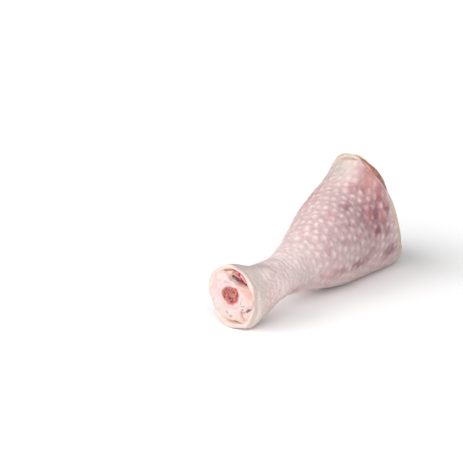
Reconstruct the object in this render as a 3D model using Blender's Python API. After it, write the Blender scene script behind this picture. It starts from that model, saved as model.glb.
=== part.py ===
"""A raw chicken drumstick lying at rest, modelled as the layers it is made of.

The leg runs along +X, from the hock, where the foot was cut off, to the knee, where the thigh
was cut off. Every layer is laid out in the same oval sections strung along the leg, so the
skin, meat, bone and cartilage nest with a thin gap between them. Lengths are in millimetres
until a point is placed.
"""

import math

import bmesh
import bpy
import numpy as np
from mathutils import Vector

MM = 0.001

# The leg's outer form. Each station is a share of the leg's length, from the hock at 0 to the
# knee at 1, and the oval section there: half its width, half its height, and how far its
# centre lies to the side and above the table.
LEG_LENGTH = 122.0
STATIONS = (
    (0.00, 14.0, 16.0, 1.5, 16.0),
    (0.07, 11.0, 15.0, 0.0, 14.5),
    (0.16, 12.5, 10.0, -1.5, 17.0),
    (0.28, 11.0, 9.5, -2.5, 18.0),
    (0.42, 14.0, 13.5, -2.0, 19.0),
    (0.58, 19.0, 20.0, -1.0, 21.5),
    (0.74, 23.0, 24.5, 1.5, 23.0),
    (0.88, 24.0, 29.0, 1.5, 26.0),
    (1.00, 25.0, 33.9, 1.0, 30.9),
)
HOCK_SLANT = (0.06, -0.02)  # lean of the hock's cut along X, for each mm sideways and up
KNEE_SLANT = (0.46, -0.54)  # the same at the knee, which is cut obliquely
HOCK_SLANT_END = 0.25
KNEE_SLANT_START = 0.72
SAG_BLEND = 2.0  # height over which the soft belly rounds into its flat resting patch

GAP = 0.3  # clear space between neighbouring layers
LINING_GAP = 0.4  # and between the skin and what it wraps
LOOSE_GAP = 0.5  # the skin comes away from the meat towards its edge
SKIN = 1.6  # skin thickness along the leg
HOCK_SKIN_EXTRA = 0.7  # the skin is thicker round the hock
HOCK_FAT_EXTRA = 2.4  # and thicker still under it
HOCK_THICKENING_END = 0.12
KNEE_SKIN_EXTRA = 0.6  # the cut edge at the knee is swollen
KNEE_THICKENING_START = 0.88
FOLD_EXTRA = 1.6  # and folded over into a thick roll at the top
FOLD_AT = math.radians(75)
FOLD_SPREAD = math.radians(28)
LIP = 0.8  # how far the rounded edges of the skin stand out
LIP_RINGS = (0.12, 0.5, 0.88)  # where the rings of that edge lie across its thickness
SKIN_END = 0.975  # where the skin stops, as a share of the leg's length
DRAWN_BACK = 0.021  # how far the skin has shrunk back on its upper outer side
DRAWN_BACK_AT = math.radians(119)
DRAWN_BACK_SPREAD = math.radians(13)
EVEN_RINGS_END = 0.90  # beyond here the skin's rings fan out to its uneven edge

PAD_DEPTH = 0.10  # how far the white hock pad reaches into the leg
PAD_DOME = 1.6
PAD_FACE_RINGS = (0.0, 0.35, 0.65, 0.88, 0.97)  # from the bone's edge to the skin
SLIT_AT = math.radians(106)  # the tear between the pad and the skin
SLIT_SPREAD = math.radians(27)
SLIT_WIDTH = 3.2
SLIT_DEPTH = 0.055

BONE_STATIONS = ((0.0, 6.4), (0.12, 5.2), (0.3, 4.3), (0.62, 4.3), (0.85, 6.6), (1.0, 9.2))
BONE_SIDE = ((0.0, 0.0), (0.3, 0.0), (0.7, 0.0), (1.0, -1.0))  # from the leg's centre line
BONE_RISE = ((0.0, 1.6), (0.3, 0.0), (0.7, 1.5), (1.0, 1.0))
BONE_END = 0.985
BONE_EDGE = 0.5
MARROW_STATIONS = ((0.0, 4.9), (0.12, 3.6), (0.3, 2.6), (0.6, 2.2))
MARROW_DEPTH = 0.6
MARROW_SUNK = 0.3  # the red core lies a little below the bone's cut end
MARROW_CREST = ((0.45, -0.35), (0.85, 0.0), (1.0, 0.4))  # share of its radius, and drop

MEAT_START = 0.107
MEAT_CLEAR = 0.014  # the meat spreads only when it is clear of the skin's edge
MEAT_INSET = 0.6  # and then nearly to the leg's outer form
MEAT_TUCK = 5.0  # but it stays well inside the skin on its outer side
MEAT_TUCK_AT = math.radians(180)
MEAT_TUCK_SPREAD = math.radians(48)
KNEE_DOME = 6.0  # how far the meat bulges beyond the cut
KNEE_SAG = 2.0  # how far its crest droops
KNEE_BOWL = 0.14  # share of the way to the skin at which that crest lies
DOME_SQUARE = 0.55
DOME_FULLNESS = 0.9
DOME_FLARE = math.radians(30)  # how soon the dome leaves the uneven edge for an even cut
DOME_RINGS = tuple(math.radians(rise) for rise in (6, 13, 20, 28, 36, 44, 52, 60, 68, 78, 90))
LOBES = 5
LOBE_HEIGHT = 0.6

FAT_AT = math.radians(72)  # the lump of fat at the top of the knee's cut
FAT_REACH = math.radians(30)
FAT_RISE = math.radians(47)
FAT_RISE_REACH = math.radians(32)
FAT_DENT = 3.2
FAT_BULGE = 1.3
FAT_RINGS = (0.12, 0.4, 0.65, 0.84)
FAT_EDGE = 0.92
FAT_CLEAR = 0.55

CAP_RADIUS = 8.3  # the cartilage over the end of the bone
CAP_HEIGHT = 9.5
CAP_OVAL = 0.12
CAP_GROOVE = 0.3
CAP_GROOVE_WIDTH = 0.35
CAP_AXIS = math.radians(20)
CAP_FOOT = 1.6
CAP_FOOT_REACH = 0.93
CAP_RINGS = tuple(math.radians(rise) for rise in (20, 38, 54, 68, 80))

AROUND = 36  # points round each ring of skin, meat and pad
BONE_AROUND = 20
# Neighbouring layers have their rings at the same places, so that no facet cuts another's.
HOCK_RINGS = (0.012, 0.03, 0.055, 0.08)
LEG_RINGS = tuple(float(s) for s in np.linspace(MEAT_START, 1.0, 25))
LINING_RINGS = LEG_RINGS[:16:2] + LEG_RINGS[16:]
HOLLOW_RINGS = (0.05, 0.12, 0.2, 0.3, 0.45)
BONE_HOCK_RINGS = (0.02, 0.05, PAD_DEPTH)
SHAFT_RINGS = (0.15, 0.2, 0.3, 0.45, 0.62, 0.74, 0.85, 0.93)

SKIN_PINK = (0.80, 0.62, 0.58)
MEAT_RED = (0.52, 0.20, 0.18)
PAD_CREAM = (0.90, 0.74, 0.70)
BONE_CREAM = (0.86, 0.74, 0.66)
MARROW_RED = (0.48, 0.10, 0.09)
CARTILAGE_WHITE = (0.84, 0.80, 0.78)
FAT_CREAM = (0.88, 0.74, 0.52)


def clear_scene():
    """Removes everything that the startup file holds."""
    for obj in list(bpy.data.objects):
        bpy.data.objects.remove(obj)


def smooth_curve(points):
    """A natural cubic spline through (position, value) pairs, held still beyond its ends."""
    at, value = np.array(points, float).T
    step = np.diff(at)
    rows = len(at)
    system = np.eye(rows)
    right = np.zeros(rows)
    for i in range(1, rows - 1):
        system[i, i - 1 : i + 2] = step[i - 1], 2 * (step[i - 1] + step[i]), step[i]
        before, after = np.diff(value)[i - 1 : i + 1] / step[i - 1 : i + 1]
        right[i] = 6 * (after - before)
    bend = np.linalg.solve(system, right)

    def evaluate(s):
        s = min(max(s, at[0]), at[-1])
        i = min(int(np.searchsorted(at, s, side="right")) - 1, rows - 2)
        before, after = (at[i + 1] - s) / step[i], (s - at[i]) / step[i]
        curve = (before**3 - before) * bend[i] + (after**3 - after) * bend[i + 1]
        return float(before * value[i] + after * value[i + 1] + curve * step[i] ** 2 / 6)

    return evaluate


half_width = smooth_curve([(station[0], station[1]) for station in STATIONS])
half_height = smooth_curve([(station[0], station[2]) for station in STATIONS])
centre_side = smooth_curve([(station[0], station[3]) for station in STATIONS])
centre_rise = smooth_curve([(station[0], station[4]) for station in STATIONS])
bone_radius = smooth_curve(BONE_STATIONS)
bone_side = smooth_curve(BONE_SIDE)
bone_rise = smooth_curve(BONE_RISE)
marrow_radius = smooth_curve(MARROW_STATIONS)


def ramp(value, start, end):
    """0 before start, 1 after end, and straight between."""
    return min(max((value - start) / (end - start), 0.0), 1.0)


def hump(angle, centre, spread):
    """A smooth hump round a section: 1 at the centre angle, dying away on both sides."""
    away = math.remainder(angle - centre, 2 * math.pi)
    return math.exp(-((away / spread) ** 2))


def turn(count):
    """Angles all the way round a section."""
    return [2 * math.pi * i / count for i in range(count)]


def slant(s):
    """How far the section at s leans along X, for each mm sideways and each mm up."""
    hock = (1 - ramp(s, 0.0, HOCK_SLANT_END)) ** 2
    knee = ramp(s, KNEE_SLANT_START, 1.0) ** 1.5
    return [hock * h + knee * k for h, k in zip(HOCK_SLANT, KNEE_SLANT)]


def sagged(height, table):
    """The height kept on or above the table, with a rounded edge to the flat patch."""
    above = height - table
    if above <= -SAG_BLEND:
        return table
    if above >= SAG_BLEND:
        return height
    return table + (above + SAG_BLEND) ** 2 / (4 * SAG_BLEND)


def place(s, side, up, out=0.0, table=0.0):
    """A point in the section at s, then moved out of that section towards the knee."""
    lean_side, lean_up = slant(s)
    normal = Vector((1.0, -lean_side, -lean_up)).normalized()
    along = s * LEG_LENGTH + lean_side * side + lean_up * up
    height = sagged(centre_rise(s) + up, table)
    return (Vector((along, centre_side(s) + side, height)) + out * normal) * MM


def outer(s, angle, inset=0.0, out=0.0):
    """A point of the leg's outer form, or of a layer the given depth inside it."""
    side = (half_width(s) - inset) * math.cos(angle)
    up = (half_height(s) - inset) * math.sin(angle)
    return place(s, side, up, out, table=inset)


def about_bone(s, angle, radius, out=0.0):
    """A point on a circle round the bone's own centre line."""
    side = bone_side(s) + radius * math.cos(angle)
    return place(s, side, bone_rise(s) + radius * math.sin(angle), out)


def skin_depth(s, angle):
    """Skin thickness, which grows at the cut ends and under the hock."""
    hock = (1 - ramp(s, 0.0, HOCK_THICKENING_END)) ** 2
    under = max(0.0, -math.sin(angle)) ** 2
    knee = ramp(s, KNEE_THICKENING_START, SKIN_END)
    hock_extra = HOCK_SKIN_EXTRA + HOCK_FAT_EXTRA * under
    knee_extra = KNEE_SKIN_EXTRA + FOLD_EXTRA * hump(angle, FOLD_AT, FOLD_SPREAD)
    return SKIN + hock * hock_extra + knee * knee_extra


def skin_end(angle):
    """Where the skin stops at the knee, with the stretch that has shrunk back."""
    return SKIN_END - DRAWN_BACK * hump(angle, DRAWN_BACK_AT, DRAWN_BACK_SPREAD)


def fanned(share, angle):
    """A place along the skin: the same all round near the hock, then fanning to its edge."""
    if share <= EVEN_RINGS_END:
        return share
    return EVEN_RINGS_END + ramp(share, EVEN_RINGS_END, 1.0) * (skin_end(angle) - EVEN_RINGS_END)


def material(name, colour, roughness):
    """A plain finish for one layer."""
    finish = bpy.data.materials.new(name)
    finish.use_nodes = True
    shader = finish.node_tree.nodes["Principled BSDF"]
    shader.inputs["Base Color"].default_value = (*colour, 1.0)
    shader.inputs["Roughness"].default_value = roughness
    shader.inputs["Metallic"].default_value = 0.0
    return finish


def solid_from_rings(name, rings, finish, parent, looped=False):
    """Bridges rings of points into one closed body, with end caps unless the rings loop."""
    shape = bmesh.new()
    loops = []
    for ring in rings:
        corners = [shape.verts.new(point) for point in ring]
        loops.append([shape.edges.new(pair) for pair in zip(corners, corners[1:] + corners[:1])])
    following = loops[1:] + (loops[:1] if looped else [])
    for here, there in zip(loops, following):
        bmesh.ops.bridge_loops(shape, edges=here + there)
    if not looped:
        for end in (loops[0], loops[-1]):
            bmesh.ops.contextual_create(shape, geom=end)
    bmesh.ops.recalc_face_normals(shape, faces=shape.faces)
    mesh = bpy.data.meshes.new(name)
    shape.to_mesh(mesh)
    shape.free()
    mesh.shade_smooth()
    mesh.materials.append(finish)
    obj = bpy.data.objects.new(name, mesh)
    bpy.context.scene.collection.objects.link(obj)
    obj.parent = parent
    return obj


def build_skin(parent):
    """The sleeve of skin: along its face, over its rounded lips, and back along its lining."""
    lip = [(share, LIP * (1 - (2 * share - 1) ** 2)) for share in LIP_RINGS]
    path = [(0.0, share, -stand) for share, stand in reversed(lip)]
    path += [(along, 0.0, 0.0) for along in HOCK_RINGS + LEG_RINGS]
    path += [(1.0, share, stand) for share, stand in lip]
    path += [(along, 1.0, 0.0) for along in reversed(HOCK_RINGS + LINING_RINGS)]
    rings = []
    for along, share, stand in path:
        ring = []
        for angle in turn(AROUND):
            s = fanned(along, angle)
            ring.append(outer(s, angle, share * skin_depth(s, angle), stand))
        rings.append(ring)
    finish = material("skin", SKIN_PINK, 0.45)
    return solid_from_rings("skin", rings, finish, parent, looped=True)


def lining_depth(s, angle):
    """Depth at which a layer just under the skin lies."""
    return skin_depth(s, angle) + LINING_GAP + LOOSE_GAP * ramp(s, KNEE_THICKENING_START, SKIN_END)


def fat_cover(angle, tilt):
    """How deep a place on the meat's dome lies under the fat: 1 in its middle, 0 outside."""
    aside = math.remainder(angle - FAT_AT, 2 * math.pi) / FAT_REACH
    return max(0.0, 1 - aside**2 - ((tilt - FAT_RISE) / FAT_RISE_REACH) ** 2)


def dome(angle, tilt, raised=0.0):
    """A point on the meat's bulging end: tilt runs from its foot at the skin to its crest."""
    start = skin_end(angle) + MEAT_CLEAR
    s = start + (BONE_END - start) * ramp(tilt, 0.0, DOME_FLARE)
    share = KNEE_BOWL + (1 - KNEE_BOWL) * max(0.0, math.cos(tilt)) ** DOME_SQUARE
    lobe = LOBE_HEIGHT * math.cos(LOBES * angle) * math.sin(2 * tilt)
    out = KNEE_DOME * math.sin(tilt) ** DOME_FULLNESS + lobe + raised
    inside = about_bone(s, angle, bone_radius(s) + GAP, out)
    folded = FOLD_EXTRA * hump(angle, FOLD_AT, FOLD_SPREAD)
    inset = MEAT_INSET + folded + MEAT_TUCK * hump(angle, MEAT_TUCK_AT, MEAT_TUCK_SPREAD)
    droop = Vector((0.0, 0.0, KNEE_SAG * math.sin(tilt) * MM))
    return inside.lerp(outer(s, angle, inset, out), share) - droop


def build_meat(parent):
    """The muscle: a sleeve round the bone, which bulges out of the skin at the knee."""
    angles = turn(AROUND)
    rings = []
    for along in LINING_RINGS:
        places = [(fanned(along, angle), angle) for angle in angles]
        rings.append([outer(s, angle, lining_depth(s, angle)) for s, angle in places])
    rings.append([outer(s + MEAT_CLEAR, angle, lining_depth(s, angle)) for s, angle in places])
    for tilt in DOME_RINGS:
        rings.append([dome(a, tilt, -FAT_DENT * fat_cover(a, tilt)) for a in angles])
    for along in (BONE_END, *reversed(SHAFT_RINGS), MEAT_START):
        rings.append([about_bone(along, angle, bone_radius(along) + GAP) for angle in angles])
    finish = material("meat", MEAT_RED, 0.4)
    return solid_from_rings("meat", rings, finish, parent, looped=True)


def build_fat(parent):
    """A lump of fat lying in its dent at the top of the meat's end."""
    def patch(reach, height):
        """An oval ring round the middle of the dent, at a height over the meat's dome."""
        ring = []
        for around in turn(BONE_AROUND):
            angle = FAT_AT + reach * FAT_REACH * math.cos(around)
            tilt = FAT_RISE + reach * FAT_RISE_REACH * math.sin(around)
            ring.append(dome(angle, tilt, height))
        return ring

    below = [patch(r, FAT_CLEAR - FAT_DENT * (1 - r**2)) for r in FAT_RINGS]
    above = [patch(r, FAT_CLEAR + FAT_BULGE * (1 - r**2)) for r in reversed(FAT_RINGS)]
    edge = [patch(FAT_EDGE, FAT_CLEAR)]
    return solid_from_rings("fat_lobe", below + edge + above, material("fat", FAT_CREAM, 0.4), parent)


def build_hock_pad(parent):
    """The white pad of gristle round the bone's cut end, torn away from the skin on top."""
    angles = turn(AROUND)

    def side(s, angle):
        """Depth of the pad's outer side, which draws in where it is torn."""
        torn = SLIT_WIDTH * hump(angle, SLIT_AT, SLIT_SPREAD) * (1 - ramp(s, 0.0, SLIT_DEPTH))
        return lining_depth(s, angle) + torn

    def face(share, angle):
        """A point of the domed cut face, from the bone's edge at 0 to the skin at 1."""
        swell = -PAD_DOME * (1 - share**2)
        inside = about_bone(0.0, angle, bone_radius(0.0) + GAP, swell)
        return inside.lerp(outer(0.0, angle, side(0.0, angle), swell), share)

    holes = (PAD_DEPTH, 0.05)
    rings = [[about_bone(s, a, bone_radius(s) + GAP) for a in angles] for s in holes]
    rings += [[face(share, a) for a in angles] for share in PAD_FACE_RINGS]
    rings += [[outer(s, a, side(s, a)) for a in angles] for s in HOCK_RINGS + (PAD_DEPTH,)]
    finish = material("hock_pad", PAD_CREAM, 0.35)
    return solid_from_rings("hock_pad", rings, finish, parent, looped=True)


def build_bone(parent):
    """The shin bone: hollow from its cut end at the hock, and flared to its knee head."""
    hollow = (MARROW_DEPTH + 0.01, *reversed(HOLLOW_RINGS))
    path = [(s, marrow_radius(s) + GAP, 0.0) for s in hollow]
    path += [(0.0, marrow_radius(0.0) + GAP, BONE_EDGE - PAD_DOME)]
    path += [(0.0, (marrow_radius(0.0) + GAP + bone_radius(0.0)) / 2, -PAD_DOME)]
    path += [(0.0, bone_radius(0.0), BONE_EDGE - PAD_DOME)]
    path += [(s, bone_radius(s), 0.0) for s in BONE_HOCK_RINGS + SHAFT_RINGS]
    edge = BONE_END - BONE_EDGE / LEG_LENGTH
    path += [(edge, bone_radius(edge), 0.0)]
    path += [(BONE_END, bone_radius(edge) - BONE_EDGE, 0.0)]
    rings = [[about_bone(s, a, radius, out) for a in turn(BONE_AROUND)] for s, radius, out in path]
    return solid_from_rings("shin_bone", rings, material("bone", BONE_CREAM, 0.5), parent)


def build_marrow(parent):
    """The red spongy core that shows at the bone's cut end and runs up its hollow."""
    sunk = MARROW_SUNK - PAD_DOME
    radius = marrow_radius(0.0)
    path = [(0.0, radius * share, sunk + drop) for share, drop in MARROW_CREST]
    path += [(s, marrow_radius(s), 0.0) for s in HOLLOW_RINGS + (MARROW_DEPTH,)]
    rings = [[about_bone(s, a, r, out) for a in turn(BONE_AROUND)] for s, r, out in path]
    return solid_from_rings("marrow", rings, material("marrow", MARROW_RED, 0.35), parent)


def build_knee_cap(parent):
    """The cartilage over the bone's knee end: two rounded knuckles with a groove between."""
    def knuckle(reach, height):
        """One oval ring of the cap, at a share of its radius and of its height."""
        ring = []
        for angle in turn(BONE_AROUND):
            across = math.cos(angle - CAP_AXIS)
            radius = reach * CAP_RADIUS * (1 + CAP_OVAL * (2 * across**2 - 1))
            groove = CAP_GROOVE * hump(reach * across, 0.0, CAP_GROOVE_WIDTH)
            out = GAP + height * CAP_HEIGHT * (1 - groove)
            ring.append(about_bone(BONE_END, angle, radius, out))
        return ring

    foot = CAP_FOOT / CAP_HEIGHT
    rings = [knuckle(CAP_FOOT_REACH, 0.0), knuckle(1.0, foot)]
    for tilt in CAP_RINGS:
        rings.append(knuckle(math.cos(tilt), foot + (1 - foot) * math.sin(tilt)))
    finish = material("knee_cartilage", CARTILAGE_WHITE, 0.3)
    return solid_from_rings("knee_cartilage", rings, finish, parent)


def stand_over_origin(leg):
    """Moves the leg so that the middle of its box, at table height, is the origin."""
    layers = [obj.data for obj in leg.children]
    corners = np.array([v.co[:] for mesh in layers for v in mesh.vertices])
    low, high = corners.min(axis=0), corners.max(axis=0)
    leg.location = (-(low[0] + high[0]) / 2, -(low[1] + high[1]) / 2, -low[2])


def main():
    """Builds every layer of the leg, and stands it over the origin."""
    clear_scene()
    leg = bpy.data.objects.new("leg", None)
    bpy.context.scene.collection.objects.link(leg)
    layers = (build_skin, build_meat, build_fat, build_hock_pad, build_bone, build_marrow)
    for build in (*layers, build_knee_cap):
        build(leg)
    stand_over_origin(leg)


main()
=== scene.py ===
"""A raw chicken drumstick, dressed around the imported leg.

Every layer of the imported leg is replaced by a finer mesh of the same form: bumpy skin, the
gristle, bone and marrow of the cut hock, and the meat, fat and cartilage of the cut knee.
Lengths are in millimetres until a point is placed in the frame.
"""

import logging
import math
from dataclasses import dataclass, field
from enum import Enum
from typing import Any, Sequence

import bpy
import numpy as np
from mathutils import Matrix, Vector


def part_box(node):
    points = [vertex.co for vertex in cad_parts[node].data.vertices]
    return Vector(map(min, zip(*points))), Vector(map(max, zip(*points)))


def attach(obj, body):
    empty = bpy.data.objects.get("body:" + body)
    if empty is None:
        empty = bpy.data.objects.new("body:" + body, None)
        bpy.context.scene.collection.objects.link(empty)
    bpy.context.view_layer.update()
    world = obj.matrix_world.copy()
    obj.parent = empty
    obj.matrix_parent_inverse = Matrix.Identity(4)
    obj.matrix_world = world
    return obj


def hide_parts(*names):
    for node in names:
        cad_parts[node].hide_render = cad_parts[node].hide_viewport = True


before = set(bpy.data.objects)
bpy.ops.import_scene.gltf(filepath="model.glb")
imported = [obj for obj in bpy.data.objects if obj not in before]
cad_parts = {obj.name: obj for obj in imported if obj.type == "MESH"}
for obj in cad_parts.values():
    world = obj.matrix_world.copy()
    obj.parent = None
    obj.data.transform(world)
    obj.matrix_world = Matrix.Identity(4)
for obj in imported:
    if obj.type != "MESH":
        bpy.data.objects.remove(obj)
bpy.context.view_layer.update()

log = logging.getLogger("drumstick")

Array = np.ndarray
Amount = np.ndarray | float
Colour = tuple[float, float, float]
Place = tuple[float, float]
Path = tuple[Place, ...]
Shape = tuple[int, ...]
MM = 0.001
TURN = 2 * math.pi


def ramp(value: Amount, start: float, end: float) -> Array:
    """0 before start, 1 after end, and straight between."""
    return np.clip((np.asarray(value, float) - start) / (end - start), 0.0, 1.0)


def ease(value: Amount, start: float, end: float) -> Array:
    """0 before start, 1 after end, with soft corners."""
    t = ramp(value, start, end)
    return t * t * (3 - 2 * t)


def away(angle: Amount, centre: float) -> Array:
    """Signed angle from a centre given in degrees, between minus and plus half a turn."""
    return (np.asarray(angle, float) - math.radians(centre) + math.pi) % TURN - math.pi


def turn(count: int) -> Array:
    """Even angles once round a section, in one row."""
    return np.linspace(0, TURN, count, endpoint=False)[None]


def hump(angle: Amount, centre: float, spread: float) -> Array:
    """A smooth hump round a section: 1 at the centre, dying away over a spread in degrees."""
    return np.exp(-((away(angle, centre) / math.radians(spread)) ** 2))


def stretch(angle: Amount, centre: float, half: float, soft: float) -> Array:
    """A flat-topped stretch of a section: 1 within half of the centre, 0 beyond its soft ends.

    Args:
        angle: Angle round the section, in radians.
        centre: The stretch's middle, in degrees.
        half: Half its width, in degrees.
        soft: How far each end is softened either way, in degrees.

    Returns:
        Values from 0 to 1.
    """
    off = np.degrees(np.abs(away(angle, centre)))
    return 1 - ease(off, half - soft, half + soft)


def seam(side: Array, up: Array, path: Path, reach: float) -> Array:
    """A soft line on a cut face, 1 along a path of straight stretches.

    Args:
        side: Sideways places of the points, from the middle of the face.
        up: Upward places of the points.
        path: The line's corners, or one place for a round spot.
        reach: Half the line's width.

    Returns:
        The line's strength at each point.
    """
    nearest = np.full(np.shape(side), np.inf)
    for (x0, y0), (x1, y1) in zip(path, path[1:] or path):
        run, rise = x1 - x0, y1 - y0
        length = run**2 + rise**2 or 1.0
        along = np.clip(((side - x0) * run + (up - y0) * rise) / length, 0, 1)
        gap = (side - x0 - along * run) ** 2 + (up - y0 - along * rise) ** 2
        nearest = np.minimum(nearest, gap)
    return np.exp(-nearest / reach**2)


@dataclass(frozen=True)
class Stroke:
    """A soft line, or a spot if its path is one place, that is drawn on a cut face."""

    strength: float
    reach: float
    path: Path

    def on(self, side: Array, up: Array) -> Array:
        """How strong the stroke is at each point."""
        return self.strength * seam(side, up, self.path, self.reach)


def added(side: Array, up: Array, strokes: Sequence[Stroke]) -> Array:
    """Strokes on a cut face, added up."""
    return sum(stroke.on(side, up) for stroke in strokes)


def strongest(side: Array, up: Array, strokes: Sequence[Stroke]) -> Array:
    """Strokes on a cut face, the strongest winning."""
    return np.maximum.reduce([stroke.on(side, up) for stroke in strokes])


def stacked(layers: dict[str, Sequence[Amount]], shapes: Sequence[Shape]) -> dict[str, Array]:
    """Joins what each layer says of the parts of a mesh.

    Args:
        layers: For each layer, one array or number for each part.
        shapes: Rows and points a row of each part.

    Returns:
        One array for each layer.
    """
    return {
        key: np.concatenate([np.broadcast_to(value, shape) for value, shape in zip(values, shapes)])
        for key, values in layers.items()
    }


def lumps(points: Array, size: float, seed: int) -> Array:
    """Soft unevenness in space, the same on every run.

    Args:
        points: Places in metres, with the three coordinates last.
        size: Rough distance from lump to lump in millimetres.
        seed: Which unevenness.

    Returns:
        Values from about -1 to 1.
    """
    waves = 28
    dice = np.random.default_rng(seed)
    heading = dice.normal(size=(waves, 3))
    heading /= np.linalg.norm(heading, axis=1)[:, None]
    pace = TURN / (size * MM) * dice.uniform(0.6, 1.4, waves)
    start = dice.uniform(0, TURN, waves)
    total = np.zeros(points.shape[:-1])
    for way, speed, phase in zip(heading, pace, start):
        total += np.sin(points @ way * speed + phase)
    return total / math.sqrt(waves) / 1.4


class SmoothCurve:
    """A natural cubic spline through a few (place, value) points, held still beyond them."""

    def __init__(self, points: Sequence[Place]) -> None:
        """Works out the spline's bends.

        Args:
            points: Places in rising order, each with its value.
        """
        self.at, self.value = np.array(points, float).T
        self.step = np.diff(self.at)
        rows = len(self.at)
        system = np.eye(rows)
        right = np.zeros(rows)
        for i in range(1, rows - 1):
            before, after = self.step[i - 1], self.step[i]
            system[i, i - 1 : i + 2] = before, 2 * (before + after), after
            slopes = np.diff(self.value)[i - 1 : i + 1] / (before, after)
            right[i] = 6 * (slopes[1] - slopes[0])
        self.bend = np.linalg.solve(system, right)

    def __call__(self, s: Amount) -> Array:
        """The value at each place.

        Args:
            s: Places along the curve.

        Returns:
            An array of the same shape.
        """
        s = np.clip(s, self.at[0], self.at[-1])
        i = np.clip(np.searchsorted(self.at, s, side="right") - 1, 0, len(self.step) - 1)
        step = self.step[i]
        before, after = (self.at[i + 1] - s) / step, (s - self.at[i]) / step
        curve = (before**3 - before) * self.bend[i] + (after**3 - after) * self.bend[i + 1]
        return before * self.value[i] + after * self.value[i + 1] + curve * step**2 / 6


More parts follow.
